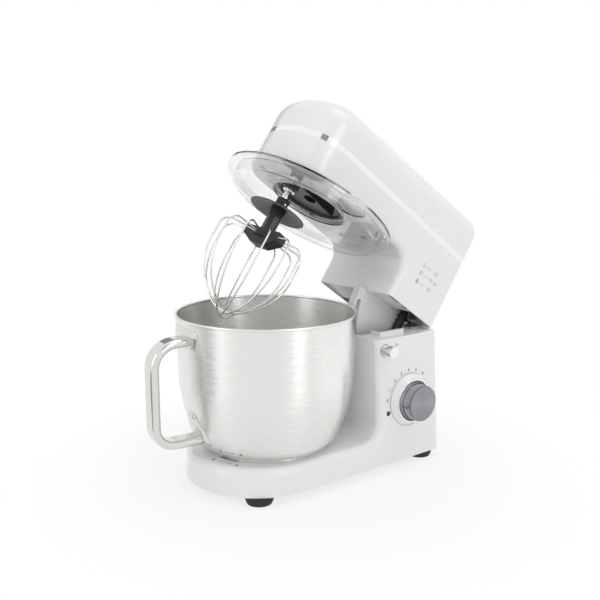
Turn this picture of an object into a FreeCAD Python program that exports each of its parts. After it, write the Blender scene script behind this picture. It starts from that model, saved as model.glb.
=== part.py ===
import FreeCAD, Part
import math
import os
import Sketcher
from types import SimpleNamespace

# A tilt-head stand mixer, with its head raised and the whisk on its shaft.
# Millimetres. The origin is on the counter, on the centre plane, a little ahead of mid-length.
# -Y points to the nose and the bowl handle, +X to the speed dial, +Z up.
# Pieces of the head are drawn with the head lowered and are then lifted about the hinge pin.

SIZES = {
    # Stance of the head and place of the bowl
    "head_tilt": 35.0,
    "hinge_y": 154.0,
    "hinge_rise": 6.9,
    "bowl_y": -68.0,
    # Walls and clearances
    "wall": 2.5,
    "running_gap": 0.05,
    "press_gap": 0.02,
    "seat_gap": 0.1,
    "moving_gap": 0.5,
    "screw_radius": 2.0,
    "screw_head_radius": 3.8,
    "screw_head_height": 2.4,
    "screw_length": 14.0,
    "boss_radius": 5.0,
    # Base and column
    "foot_height": 11.0,
    "foot_radius": 18.0,
    "foot_toe_radius": 16.0,
    "foot_toe_height": 5.0,
    "foot_plug_radius": 5.0,
    "foot_front_x": 68.0,
    "foot_rear_x": 76.0,
    "foot_front_y": -128.0,
    "foot_rear_y": 144.0,
    "base_half_width": 97.4,
    "base_nose_y": -81.0,
    "base_rear_y": 168.7,
    "base_corner": 16.0,
    "base_draft": 2.9,
    "base_top_z": 46.0,
    "base_edge_round": 10.0,
    "column_top_z": 182.5,
    "column_front_y": 49.0,
    "column_root_round": 24.0,
    "column_top_round": 2.0,
    "column_lip_height": 5.0,
    "column_lip_length": 44.0,
    "lip_inset": 1.5,
    "lip_set": 4.0,
    "mouth_half_width": 49.0,
    "side_screw_x": 80.0,
    "front_screw_set": 12.5,
    "rear_screw_x": 52.0,
    "gland_x": -40.0,
    "gland_z": 36.0,
    "gland_radius": 6.5,
    "gland_bore": 3.4,
    "gland_stand": 0.75,
    # Bowl seat in the base
    "seat_radius": 79.0,
    "seat_depth": 10.0,
    "seat_wall": 2.0,
    "lug_reach": 3.6,
    "lug_height": 5.0,
    "lug_count": 3,
    "lug_angle": 18.0,
    "lug_slot_spare": 4.0,
    "slot_turn": -72.0,
    "bowl_turn": 24.0,
    # Bowl
    "bowl_radius": 117.5,
    "bowl_wall": 1.0,
    "bowl_rim_gap": 2.5,
    "bowl_rim_bead": 1.8,
    "bowl_shoulder_radius": 115.2,
    "bowl_shoulder_rise": 102.0,
    "bowl_side_curve": 200.0,
    "bowl_foot_curve": 25.0,
    "bowl_floor_rise": 2.0,
    "foot_ring_wall": 2.0,
    "handle_turn": 4.5,
    "handle_reach": 160.5,
    "handle_drop": 24.5,
    "handle_span": 128.0,
    "handle_top_bend": 30.0,
    "handle_bottom_bend": 25.0,
    "handle_width": 26.0,
    "handle_thickness": 11.0,
    "handle_wall": 1.2,
    "handle_corner": 4.95,
    # Speed dial
    "dial_y": 104.7,
    "dial_z": 93.6,
    "dial_plate_radius": 36.0,
    "dial_plate_proud": 2.0,
    "dial_collar_radius": 30.8,
    "dial_collar_proud": 8.8,
    "dial_bezel_radius": 29.8,
    "dial_bezel_bore": 28.2,
    "dial_bezel_proud": 10.0,
    "dial_bezel_depth": 6.0,
    "dial_skirt_radius": 27.6,
    "dial_skirt_height": 12.5,
    "dial_grip_radius": 24.4,
    "dial_grip_flare": 0.6,
    "dial_cap_radius": 24.1,
    "dial_cap_thickness": 1.4,
    "dial_proud": 26.5,
    "dial_shaft_radius": 3.0,
    "dial_shaft_grip": 20.0,
    "dial_shaft_tail": 11.2,
    "switch_width": 28.0,
    "switch_depth": 16.0,
    # Control board and tilt safety switch
    "board_y": 99.0,
    "board_z": 90.5,
    "board_size": 70.0,
    "board_thickness": 1.6,
    "board_stand": 25.0,
    "capacitor_radius": 8.0,
    "capacitor_length": 22.0,
    "heat_sink_width": 30.0,
    "heat_sink_depth": 15.0,
    "heat_sink_height": 21.0,
    "safety_x": 40.0,
    "safety_z": 120.0,
    "safety_width": 12.0,
    "safety_depth": 14.5,
    "safety_height": 20.0,
    # Head release button
    "button_y": 62.0,
    "button_z": 168.0,
    "button_radius": 8.0,
    "button_cap_radius": 7.2,
    "button_cap_height": 2.0,
    "button_proud": 17.0,
    "button_root": 6.0,
    "button_spring_length": 9.4,
    "plunger_radius": 3.2,
    "guide_length": 14.0,
    "guide_wall": 3.5,
    # Sector guide, hinge and yoke
    "sector_near_x": 30.0,
    "sector_thickness": 12.0,
    "sector_rim": 3.0,
    "sector_depth": 84.0,
    "sector_below": 58.0,
    "sector_above": 14.0,
    "slot_gap": 0.5,
    "hinge_pin_radius": 4.5,
    "hinge_pin_overhang": 3.0,
    "bush_wall": 1.2,
    "hinge_eye_radius": 7.0,
    "hinge_ear_thickness": 5.0,
    "bracket_thickness": 3.0,
    "bracket_eye_radius": 6.7,
    "bracket_foot_width": 16.0,
    "bracket_foot_length": 24.0,
    "bracket_foot_set": 2.0,
    "bracket_set": 1.0,
    "ear_gap": 2.0,
    "yoke_rise": 21.5,
    "yoke_thickness": 4.0,
    "neck_plate_rise": 2.5,
    "neck_plate_rear_y": 122.0,
    "neck_slit_x": 65.0,
    "neck_slit_width": 2.5,
    "neck_slit_length": 24.0,
    "neck_slit_set": 9.0,
    "sleeve_x": 36.5,
    "sleeve_y": 143.0,
    "sleeve_length": 78.0,
    "sleeve_radius": 6.0,
    "sleeve_wall": 1.2,
    "coil_wire": 1.1,
    "coil_pitch": 2.8,
    "coil_gap": 0.3,
    # Head housings
    "nose_half_width": 72.4,
    "nose_y": -107.0,
    "nose_length": 52.2,
    "nose_corner": 44.0,
    "head_rear_y": 168.0,
    "head_rear_half_width": 78.4,
    "head_rear_corner": 11.0,
    "head_floor_rise": 65.5,
    "band_rise": 110.7,
    "band_height": 7.6,
    "band_thickness": 1.8,
    "nose_top_rise": 171.5,
    "rear_top_rise": 181.5,
    "head_top_round": 31.0,
    "neck_gap": 5.7,
    "neck_front_y": 65.0,
    "neck_root_round": 26.0,
    "neck_edge_round": 9.0,
    # Planetary drive
    "tool_offset": 37.0,
    "ring_teeth": 64,
    "pinion_teeth": 14,
    "main_teeth": 60,
    "input_teeth": 15,
    "main_gear_module": 1.6,
    "gear_width": 9.0,
    "gear_backlash": 0.3,
    "gear_space": 3.0,
    "ring_gear_wall": 4.0,
    "carrier_radius": 48.0,
    "carrier_drop": 2.0,
    "carrier_thickness": 8.0,
    "carrier_recess": 3.0,
    "carrier_rim": 4.0,
    "carrier_gap": 1.2,
    "carrier_boss_radius": 10.5,
    "carrier_boss_drop": 6.0,
    "tool_shaft_radius": 5.0,
    "cross_pin_radius": 1.5,
    "output_shaft_radius": 6.0,
    "input_shaft_radius": 5.0,
    "bearing_width": 8.0,
    "bearing_wall": 6.0,
    "underside_radius": 66.0,
    "underside_screw_circle": 60.0,
    "gear_plate_half_width": 61.0,
    "gear_plate_nose": 58.0,
    "gear_plate_tail": 26.0,
    "pulley_width": 14.0,
    "pulley_flange": 1.5,
    "pulley_flange_rise": 3.0,
    "pulley_radius": 44.0,
    "motor_pulley_radius": 11.0,
    "belt_thickness": 2.4,
    "belt_gap": 0.3,
    # Motor
    "motor_y": 110.0,
    "motor_radius": 40.0,
    "motor_stack": 40.0,
    "motor_bell": 4.0,
    "motor_pillar_radius": 3.5,
    "motor_pillar_angle": 35.0,
    "rotor_radius": 23.0,
    "motor_air_gap": 0.8,
    "motor_shaft_radius": 4.0,
    "commutator_radius": 11.0,
    "commutator_height": 9.0,
    "brush_length": 14.0,
    "brush_width": 7.0,
    "fan_radius": 32.0,
    "fan_height": 6.0,
    "fan_blades": 8,
    "fan_blade_angle": 7.5,
    # Whisk
    "whisk_hub_radius": 9.0,
    "whisk_hub_length": 69.0,
    "whisk_bore": 27.0,
    "whisk_push": 4.0,
    "whisk_spring_length": 10.0,
    "cross_pin_drop": 7.0,
    "key_turn": 60.0,
    "shaft_show": 17.0,
    "shield_radius": 38.0,
    "shield_drop": 20.0,
    "shield_thickness": 2.0,
    "wing_span": 56.0,
    "wing_thickness": 18.0,
    "wing_height": 22.0,
    "wing_depth": 12.0,
    "wing_toe": 20.0,
    "wing_turn": 16.0,
    "wire_collar_radius": 14.0,
    "wire_collar_height": 8.0,
    "wire_drop": 7.0,
    "wire_radius": 1.1,
    "wire_loops": 6,
    "wire_step": 2.6,
    "whisk_half_width": 58.0,
    "whisk_shoulder_bend": 14.0,
    "whisk_waist_drop": 33.0,
    "whisk_tip_curve": 42.0,
    "whisk_floor_gap": 2.0,
    # Splash guard
    "guard_radius": 118.4,
    "guard_drop": 7.0,
    "guard_wall": 2.0,
    "guard_rim_height": 4.0,
    "guard_lip_radius": 106.0,
    "guard_lip_height": 16.0,
    "guard_collar_radius": 52.0,
    "guard_gap": 0.3,
    "feed_radius": 23.0,
    "feed_x": 79.0,
}


class Size(float):
    """A number that remembers the sheet expression that gives it."""

    def __new__(cls, value, text):
        made = float.__new__(cls, value)
        made.text = text
        return made

    def __add__(self, other):
        return Size(float(self) + float(other), f"({self.text} + {as_text(other)})")

    def __sub__(self, other):
        return Size(float(self) - float(other), f"({self.text} - {as_text(other)})")

    def __mul__(self, other):
        return Size(float(self) * float(other), f"({self.text} * {as_text(other)})")

    def __truediv__(self, other):
        return Size(float(self) / float(other), f"({self.text} / {as_text(other)})")

    def __rtruediv__(self, other):
        return Size(float(other) / float(self), f"({as_text(other)} / {self.text})")

    def __radd__(self, other):
        return Size(float(other) + float(self), f"({as_text(other)} + {self.text})")

    def __rsub__(self, other):
        return Size(float(other) - float(self), f"({as_text(other)} - {self.text})")

    def __rmul__(self, other):
        return Size(float(other) * float(self), f"({as_text(other)} * {self.text})")

    def __neg__(self):
        return Size(-float(self), f"(-{self.text})")


def as_text(value):
    """The sheet expression of a size, or a plain number as text."""
    return value.text if isinstance(value, Size) else f"({float(value)!r})"


def sine(angle):
    return Size(math.sin(math.radians(angle)), f"sin({as_text(angle)} * 1 deg)")


def cosine(angle):
    return Size(math.cos(math.radians(angle)), f"cos({as_text(angle)} * 1 deg)")


def tangent(angle):
    return Size(math.tan(math.radians(angle)), f"tan({as_text(angle)} * 1 deg)")


def root(value):
    return Size(math.sqrt(value), f"sqrt({as_text(value)})")


doc = FreeCAD.newDocument("StandMixer")
sheet = doc.addObject("Spreadsheet::Sheet", "Sizes")
for row, (alias, number) in enumerate(SIZES.items(), start=1):
    sheet.set(f"A{row}", alias)
    sheet.set(f"B{row}", str(number))
    sheet.setAlias(f"B{row}", alias)
doc.recompute()
s = SimpleNamespace(**{alias: Size(number, f"Sizes.{alias}") for alias, number in SIZES.items()})


def angle_of(rise, run):
    """The angle of a slope, in degrees."""
    text = f"(atan2({as_text(rise)}; {as_text(run)}) / 1 deg)"
    return Size(math.degrees(math.atan2(rise, run)), text)


# Heights that follow from the column: the head, its drive and the bowl rise with it.
hinge_z = s.column_top_z + s.hinge_rise
neck_rim_z = s.column_top_z + s.neck_gap
yoke_z = s.column_top_z + s.yoke_rise
yoke_top_z = yoke_z + s.yoke_thickness
floor_z = s.column_top_z + s.head_floor_rise
band_z = s.column_top_z + s.band_rise
band_top_z = band_z + s.band_height
carrier_z = floor_z - s.carrier_drop
carrier_top_z = carrier_z + s.carrier_thickness
boss_z = carrier_z - s.carrier_boss_drop
ring_gear_z = carrier_top_z + s.gear_space
ring_gear_height = s.gear_width + s.carrier_drop
plate_z = ring_gear_z + ring_gear_height
plate_top_z = plate_z + s.bearing_width
main_gear_z = plate_top_z + s.gear_space
pulley_z = main_gear_z + s.gear_width + s.gear_space
top_plate_z = pulley_z + s.pulley_width + s.gear_space
drive_top_z = top_plate_z + s.bearing_width
guard_z = floor_z - s.guard_drop
rim_z = guard_z - s.guard_lip_height - s.bowl_rim_gap
bowl_floor_z = s.base_top_z + s.bowl_floor_rise
seat_floor_z = s.base_top_z - s.wall - s.seat_depth
tool_y = s.bowl_y - s.tool_offset
input_y = s.bowl_y + s.main_gear_module * (s.main_teeth + s.input_teeth) / 2
hub_top_z = boss_z - s.shaft_show
hub_z = hub_top_z - s.whisk_hub_length


def base_side_x(z):
    """Half width of the drafted base and column at a height."""
    return s.base_half_width - (z - s.foot_height) * tangent(s.base_draft)


LIFT = (
    "placement(vector(0; 0; 0); rotation(vector(1; 0; 0); -Sizes.head_tilt); "
    f"vector(0; Sizes.hinge_y; {hinge_z.text}))"
)
TURNS = {
    "X": "rotation(vector(0; 1; 0); 90)",
    "Y": "rotation(vector(1; 0; 0); -90)",
    "Z": "rotation(vector(0; 0; 1); 0)",
}
EDGE_MATCH = 0.1
places = {}
nodes = []


def bind(thing, path, value):
    """Tie one property to its sheet expression."""
    thing.setExpression(path, as_text(value))


def place(thing, at, axis="Z", spin=0):
    """Put a piece's own Z axis along an axis at a point, after a spin about it."""
    where = "; ".join(as_text(value) for value in at)
    turn = f"{TURNS[axis]} * rotation(vector(0; 0; 1); {as_text(spin)})"
    places[thing.Name] = f"placement(vector({where}); {turn})"
    thing.setExpression("Placement", places[thing.Name])
    return thing


def node(label, thing, lifted=False):
    """Name a finished sub-part, lift it with the head if it rides there, and list it."""
    thing.Label = label
    if lifted:
        own = places.get(thing.Name)
        thing.setExpression("Placement", f"{LIFT} * {own}" if own else LIFT)
    nodes.append(thing)
    return thing


def rod(name, radius, length, at, axis="Z", angle=None, spin=0):
    """A round bar, or a wedge of one, from a point along an axis."""
    made = doc.addObject("Part::Cylinder", name)
    bind(made, "Radius", radius)
    bind(made, "Height", length)
    if angle is not None:
        bind(made, "Angle", angle)
    return place(made, at, axis, spin)


def taper(name, start_radius, end_radius, length, at, axis="Z"):
    """A round bar that changes radius along its length."""
    made = doc.addObject("Part::Cone", name)
    bind(made, "Radius1", start_radius)
    bind(made, "Radius2", end_radius)
    bind(made, "Height", length)
    return place(made, at, axis)


def block(name, low, high):
    """A box between two corners."""
    made = doc.addObject("Part::Box", name)
    for path, a, b in zip(("Length", "Width", "Height"), low, high):
        bind(made, path, b - a)
    return place(made, low)


def joined(name, *things):
    made = doc.addObject("Part::MultiFuse", name)
    made.Shapes = list(things)
    return made


def group(name, *things):
    made = doc.addObject("Part::Compound", name)
    made.Links = list(things)
    return made


def without(name, base, *tools):
    """A piece less one or more others."""
    made = doc.addObject("Part::Cut", name)
    made.Base = base
    made.Tool = tools[0] if len(tools) == 1 else joined(f"{name}_tools", *tools)
    return made


def shared(name, first, second):
    made = doc.addObject("Part::Common", name)
    made.Base = first
    made.Tool = second
    return made


def tube(name, bore, radius, length, at, axis="Z"):
    """A ring or sleeve."""
    outer = rod(f"{name}_outer", radius, length, at, axis)
    inner = rod(f"{name}_bore", bore, length, at, axis)
    return without(name, outer, inner)


def arc_centre(start, end, radius):
    """Centre of the short arc from start to end, turning left for a positive radius."""
    half = FreeCAD.Vector(end[0] - start[0], end[1] - start[1], 0) / 2
    rise = math.sqrt(max(radius * radius - half.Length ** 2, 0))
    left = FreeCAD.Vector(-half.y, half.x, 0).normalize()
    return FreeCAD.Vector(start[0], start[1], 0) + half + left * math.copysign(rise, radius)


def outline(body, name, plane, points, offset=0):
    """A closed sketch through points (x, y), or (x, y, radius) where an arc leads to the point."""
    sketch = body.newObject("Sketcher::SketchObject", name)
    origin_plane = [one for one in body.Origin.OriginFeatures if one.Role == plane][0]
    sketch.AttachmentSupport = [(origin_plane, "")]
    sketch.MapMode = "FlatFace"
    bind(sketch, "AttachmentOffset.Base.z", offset)
    count = len(points)
    for index in range(count):
        start, end = points[index - 1], points[index]
        first = FreeCAD.Vector(start[0], start[1], 0)
        last = FreeCAD.Vector(end[0], end[1], 0)
        if len(end) == 2:
            sketch.addGeometry(Part.LineSegment(first, last), False)
            continue
        centre = arc_centre(start, end, end[2])
        angles = [math.atan2(p.y - centre.y, p.x - centre.x) for p in (first, last)]
        if end[2] < 0:
            angles.reverse()
        circle = Part.Circle(centre, FreeCAD.Vector(0, 0, 1), abs(end[2]))
        sketch.addGeometry(Part.ArcOfCircle(circle, *angles), False)
    ends = [(2, 1) if len(p) == 3 and p[2] < 0 else (1, 2) for p in points]
    for index in range(count):
        after = (index + 1) % count
        meeting = (index, ends[index][1], after, ends[after][0])
        sketch.addConstraint(Sketcher.Constraint("Coincident", *meeting))
    for index, point in enumerate(points):
        for kind, value in zip(("DistanceX", "DistanceY"), point[:2]):
            held = sketch.addConstraint(Sketcher.Constraint(kind, index, ends[index][1], float(value)))
            sketch.setExpression(f"Constraints[{held}]", as_text(value))
        if len(point) == 3:
            held = sketch.addConstraint(Sketcher.Constraint("Radius", index, abs(float(point[2]))))
            sketch.setExpression(f"Constraints[{held}]", f"abs({as_text(point[2])})")
    return sketch


def turned(name, points, at=(0, 0, 0), axis="Z"):
    """A body of revolution from a half section given as (radius, height) points."""
    body = doc.addObject("PartDesign::Body", name)
    sketch = outline(body, f"{name}_section", "XZ_Plane", points)
    spun = body.newObject("PartDesign::Revolution", f"{name}_turn")
    spun.Profile = sketch
    spun.ReferenceAxis = (sketch, ["V_Axis"])
    spun.Angle = 360
    return place(body, at, axis)


def padded(name, plane, points, offset, length, draft=0):
    """A body of constant section, or with drafted sides, from a closed outline."""
    body = doc.addObject("PartDesign::Body", name)
    sketch = outline(body, f"{name}_outline", plane, points, offset)
    pad = body.newObject("PartDesign::Pad", f"{name}_pad")
    pad.Profile = sketch
    bind(pad, "Length", length)
    if draft:
        bind(pad, "TaperAngle", -draft)
    return body


def trim(body, name, plane, points):
    """Cut an outline through a body, both ways from the plane."""
    sketch = outline(body, f"{name}_outline", plane, points)
    pocket = body.newObject("PartDesign::Pocket", name)
    pocket.Profile = sketch
    pocket.Type = "ThroughAll"
    pocket.Midplane = True
    return pocket


def rounded(body, name, radius, wanted):
    """Fillet the edges of a body whose middle passes a test."""
    doc.recompute()
    before = body.Tip
    names = []
    for index, edge in enumerate(before.Shape.Edges, start=1):
        middle = edge.valueAt((edge.FirstParameter + edge.LastParameter) / 2)
        if wanted(middle):
            names.append(f"Edge{index}")
    fillet = body.newObject("PartDesign::Fillet", name)
    fillet.Base = (before, names)
    bind(fillet, "Radius", radius)
    return body


def route(body, name, points):
    """An open path in a body's YZ plane through points (y, z), or (y, z, radius) after an arc."""
    sketch = body.newObject("Sketcher::SketchObject", name)
    origin_plane = [one for one in body.Origin.OriginFeatures if one.Role == "YZ_Plane"][0]
    sketch.AttachmentSupport = [(origin_plane, "")]
    sketch.MapMode = "FlatFace"
    for start, end in zip(points, points[1:]):
        first = FreeCAD.Vector(start[0], start[1], 0)
        last = FreeCAD.Vector(end[0], end[1], 0)
        if len(end) == 2:
            sketch.addGeometry(Part.LineSegment(first, last), False)
            continue
        centre = arc_centre(start, end, end[2])
        angles = [math.atan2(p.y - centre.y, p.x - centre.x) for p in (first, last)]
        circle = Part.Circle(centre, FreeCAD.Vector(0, 0, 1), float(end[2]))
        sketch.addGeometry(Part.ArcOfCircle(circle, *angles), False)
    for index in range(len(points) - 2):
        sketch.addConstraint(Sketcher.Constraint("Coincident", index, 2, index + 1, 1))
    for index, point in enumerate(points):
        edge, end = (0, 1) if index == 0 else (index - 1, 2)
        for kind, value in zip(("DistanceX", "DistanceY"), point[:2]):
            held = sketch.addConstraint(Sketcher.Constraint(kind, edge, end, float(value)))
            sketch.setExpression(f"Constraints[{held}]", as_text(value))
        if len(point) == 3:
            held = sketch.addConstraint(Sketcher.Constraint("Radius", edge, float(point[2])))
            sketch.setExpression(f"Constraints[{held}]", as_text(point[2]))
    return sketch


def swept(name, section, section_offset, path):
    """A body swept along a path in its YZ plane from a section that faces -Y."""
    body = doc.addObject("PartDesign::Body", name)
    profile = outline(body, f"{name}_section", "XZ_Plane", section, section_offset)
    spine = route(body, f"{name}_path", path)
    pipe = body.newObject("PartDesign::AdditivePipe", f"{name}_pipe")
    pipe.Profile = profile
    pipe.Spine = spine
    return body


def rounded_box(centre, width, height, corner):
    """Points of a rectangle with round corners about a centre."""
    x, y = centre
    right, top = width / 2, height / 2
    return [
        (x + right - corner, y - top),
        (x + right, y - top + corner, corner),
        (x + right, y + top - corner),
        (x + right - corner, y + top, corner),
        (x - right + corner, y + top),
        (x - right, y + top - corner, corner),
        (x - right, y - top + corner),
        (x - right + corner, y - top, corner),
    ]


def coil(name, radius, length, at, axis="Z"):
    """A round-wire spring wound about an axis."""
    line = doc.addObject("Part::Helix", f"{name}_line")
    bind(line, "Radius", radius)
    bind(line, "Height", length)
    bind(line, "Pitch", s.coil_pitch)
    wire = doc.addObject("Part::Circle", f"{name}_wire")
    bind(wire, "Radius", s.coil_wire)
    place(wire, (radius, 0, 0), "Y")
    doc.recompute()
    made = doc.addObject("Part::Sweep", name)
    made.Sections = [wire]
    made.Spine = (line, [f"Edge{index + 1}" for index in range(len(line.Shape.Edges))])
    made.Solid = True
    made.Frenet = True
    return place(made, at, axis)


def span(side, near, far):
    """A stretch of one axis on one side of the middle, low end first."""
    return (near, far) if side > 0 else (-far, -near)


def screw(name, x, y, head_z):
    """A pan-head screw driven upwards, with its head below the given height."""
    head = rod(f"{name}_head", s.screw_head_radius, s.screw_head_height,
               (x, y, head_z - s.screw_head_height))
    shank = rod(f"{name}_shank", s.screw_radius, s.screw_length, (x, y, head_z))
    return joined(name, head, shank)


# Base and column: one drafted moulding, open underneath


def base_outline(inset):
    """Plan of the base at its lower edge: a half-round front, straight sides and a square back."""
    half = s.base_half_width - inset
    rear = s.base_rear_y - inset
    corner = s.base_corner - inset
    return [
        (-half, s.base_nose_y),
        (0, s.base_nose_y - half, half),
        (half, s.base_nose_y, half),
        (half, rear - corner),
        (half - corner, rear, corner),
        (-half + corner, rear),
        (-half, rear - corner, corner),
    ]


def base_block(name, inset):
    """The base with its column, shrunk by an inset on all sides but the bottom."""
    body = padded(name, "XY_Plane", base_outline(inset), s.foot_height,
                  s.column_top_z - inset - s.foot_height, s.base_draft)
    top = s.base_top_z - inset
    front = s.column_front_y + inset
    bend = s.column_root_round + inset
    ahead = s.base_nose_y - s.base_half_width * 2
    above = s.column_top_z * 2
    trim(body, f"{name}_step", "YZ_Plane", [
        (ahead, top),
        (front - bend, top),
        (front, top + bend, bend),
        (front, above),
        (ahead, above),
    ])

    def on_step_edge(middle):
        along_plate = abs(middle.z - top) < EDGE_MATCH and abs(middle.x) > 1
        in_bend = (front - bend < middle.y < front - EDGE_MATCH
                   and top + EDGE_MATCH < middle.z < top + bend)
        up_column = (abs(middle.y - front) < EDGE_MATCH
                     and top + bend < middle.z < s.column_top_z - inset - EDGE_MATCH)
        beside = abs(middle.x) > s.base_half_width / 2
        return along_plate or (beside and (in_bend or up_column))

    return rounded(body, f"{name}_edges", s.base_edge_round - inset, on_step_edge)


no_inset = s.wall * 0
base_outer = base_block("base_outer", no_inset)
rounded(base_outer, "base_outer_top", s.column_top_round,
        lambda middle: abs(middle.z - s.column_top_z) < EDGE_MATCH)
base_core = base_block("base_core", s.wall)

cover_top_z = s.foot_height + s.wall
ceiling_z = s.base_top_z - s.wall
front_screw_y = s.base_nose_y - s.base_half_width + s.front_screw_set
rear_screw_y = s.base_rear_y - s.base_corner
screw_places = [
    (0, front_screw_y),
    (s.side_screw_x, 0),
    (-s.side_screw_x, 0),
    (s.rear_screw_x, rear_screw_y),
    (-s.rear_screw_x, rear_screw_y),
]
bosses = [
    rod(f"base_boss_{index}", s.boss_radius, ceiling_z - cover_top_z + s.wall / 2, (x, y, cover_top_z))
    for index, (x, y) in enumerate(screw_places)
]
rear_ribs = [
    block(f"base_rib_{index}", (x - s.wall / 2, y, cover_top_z),
          (x + s.wall / 2, s.base_rear_y, ceiling_z))
    for index, (x, y) in enumerate(screw_places[3:])
]
board_x = -s.base_half_width + s.board_stand
board_low = (s.board_y - s.board_size / 2, s.board_z - s.board_size / 2)
board_high = (s.board_y + s.board_size / 2, s.board_z + s.board_size / 2)
board_posts = [
    rod(f"board_post_{y_side}{z_side}", s.boss_radius - s.screw_radius, s.base_half_width,
        (board_x - s.base_half_width, y, z), "X")
    for y_side, y in enumerate((board_low[0] + s.boss_radius, board_high[0] - s.boss_radius))
    for z_side, z in enumerate((board_low[1] + s.boss_radius, board_high[1] - s.boss_radius))
]
base_posts = joined("base_posts", *bosses, *rear_ribs, *board_posts)
inner_work = shared("base_inner_work", base_outer, base_posts)

lip_x = s.nose_half_width - s.lip_inset
lip_y = s.neck_front_y + s.lip_set
lip_far_y = lip_y + s.column_lip_length
lip_top_z = s.column_top_z + s.column_lip_height
lip_z = s.column_top_z - s.wall / 2
lips = []
for side in (-1, 1):
    front_low, front_high = span(side, s.mouth_half_width + s.wall, lip_x)
    side_low, side_high = span(side, lip_x - s.wall, lip_x)
    lips.append(block(f"lip_front{side}", (front_low, lip_y, lip_z),
                      (front_high, lip_y + s.wall, lip_top_z)))
    lips.append(block(f"lip_side{side}", (side_low, lip_y, lip_z),
                      (side_high, lip_far_y, lip_top_z)))

dial_x = base_side_x(s.dial_z)
dial_middle = (s.dial_y, s.dial_z)
button_x = base_side_x(s.button_z)
button_middle = (s.button_y, s.button_z)
gland_y = s.base_rear_y - (s.gland_z - s.foot_height) * tangent(s.base_draft)
lug_circle = s.seat_radius + s.lug_reach + s.moving_gap
slot_angle = s.lug_angle + s.lug_slot_spare
base_cuts = [
    rod("seat_hole", s.seat_radius, s.wall * 3, (0, s.bowl_y, s.base_top_z - s.wall * 2)),
    block("column_mouth", (-s.mouth_half_width, s.column_front_y + s.wall, s.column_top_z - s.wall * 2),
          (s.mouth_half_width, s.hinge_y + s.wall + s.moving_gap, lip_top_z)),
    rod("dial_hole", s.dial_plate_radius + s.seat_gap, s.wall * 6,
        (dial_x - s.wall * 3, *dial_middle), "X"),
    rod("button_hole", s.button_radius + s.moving_gap, s.wall * 4,
        (button_x - s.wall * 2, *button_middle), "X"),
    rod("gland_hole", s.gland_radius + s.seat_gap, s.wall * 4,
        (s.gland_x, gland_y - s.wall * 3, s.gland_z), "Y"),
]
lug_step = 360 / s.lug_count
lug_count = int(s.lug_count)
for index in range(lug_count):
    base_cuts.append(rod(f"lug_slot_{index}", lug_circle, s.wall * 3,
                         (0, s.bowl_y, s.base_top_z - s.wall * 2), angle=slot_angle,
                         spin=s.slot_turn + lug_step * index - slot_angle / 2))
for index, (x, y) in enumerate(screw_places):
    base_cuts.append(rod(f"base_screw_hole_{index}", s.screw_radius + s.press_gap, s.screw_length,
                         (x, y, cover_top_z)))
base_shell = without("base_shell", base_outer, base_core)
base_solid = joined("base_solid", base_shell, inner_work, *lips)
node("base_housing", without("base_housing", base_solid, *base_cuts))

# Bottom cover, screws and suction feet

foot_places = [
    (side * x, y)
    for x, y in ((s.foot_front_x, s.foot_front_y), (s.foot_rear_x, s.foot_rear_y))
    for side in (-1, 1)
]
cover_blank = padded("cover_blank", "XY_Plane", base_outline(s.wall + s.seat_gap), s.foot_height, s.wall,
                     s.base_draft)
cover_holes = [
    rod(f"cover_screw_hole_{index}", s.screw_radius + s.press_gap, s.wall * 3,
        (x, y, s.foot_height - s.wall))
    for index, (x, y) in enumerate(screw_places)
]
cover_holes += [
    rod(f"cover_foot_hole_{index}", s.foot_plug_radius + s.seat_gap, s.wall * 3,
        (x, y, s.foot_height - s.wall))
    for index, (x, y) in enumerate(foot_places)
]
node("bottom_cover", without("bottom_cover", cover_blank, *cover_holes))
node("bottom_screws", group("bottom_screws", *[
    screw(f"bottom_screw_{index}", x, y, s.foot_height) for index, (x, y) in enumerate(screw_places)
]))


def suction_foot(name, x, y):
    """A rubber foot: a bell with a hollow sole and a plug through the cover."""
    toe = taper(f"{name}_toe", s.foot_toe_radius, s.foot_radius, s.foot_toe_height, (x, y, 0))
    rim = rod(f"{name}_rim", s.foot_radius, s.foot_height - s.foot_toe_height, (x, y, s.foot_toe_height))
    plug = rod(f"{name}_plug", s.foot_plug_radius, s.wall * 2, (x, y, s.foot_height))
    sole = taper(f"{name}_sole", s.foot_toe_radius - s.wall, s.foot_plug_radius, s.wall, (x, y, 0))
    return without(name, joined(f"{name}_solid", toe, rim, plug), sole)


node("suction_feet", group("suction_feet", *[
    suction_foot(f"suction_foot_{index}", x, y) for index, (x, y) in enumerate(foot_places)
]))

# Bowl seat: the cup under the base top that the bowl's lugs turn in

cup_radius = lug_circle + s.seat_wall
node("bowl_seat", turned("bowl_seat", [
    (0, seat_floor_z - s.seat_wall),
    (cup_radius, seat_floor_z - s.seat_wall),
    (cup_radius, ceiling_z),
    (lug_circle, ceiling_z),
    (lug_circle, seat_floor_z),
    (0, seat_floor_z),
], (0, s.bowl_y, 0)))

# Cord gland in the back of the base

gland_flange = s.gland_radius + s.wall
gland_solid = joined(
    "gland_solid",
    rod("gland_barrel", s.gland_radius, s.wall * 5, (s.gland_x, gland_y - s.wall * 4, s.gland_z), "Y"),
    rod("gland_flange", gland_flange, s.wall, (s.gland_x, gland_y + s.gland_stand, s.gland_z), "Y"),
)
gland_way = rod("gland_way", s.gland_bore, s.wall * 8, (s.gland_x, gland_y - s.wall * 5, s.gland_z), "Y")
node("cord_gland", without("cord_gland", gland_solid, gland_way))

# Speed dial: a coned collar with a ring in the column side, its switch, and the knob, cap and shaft that turn

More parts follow.
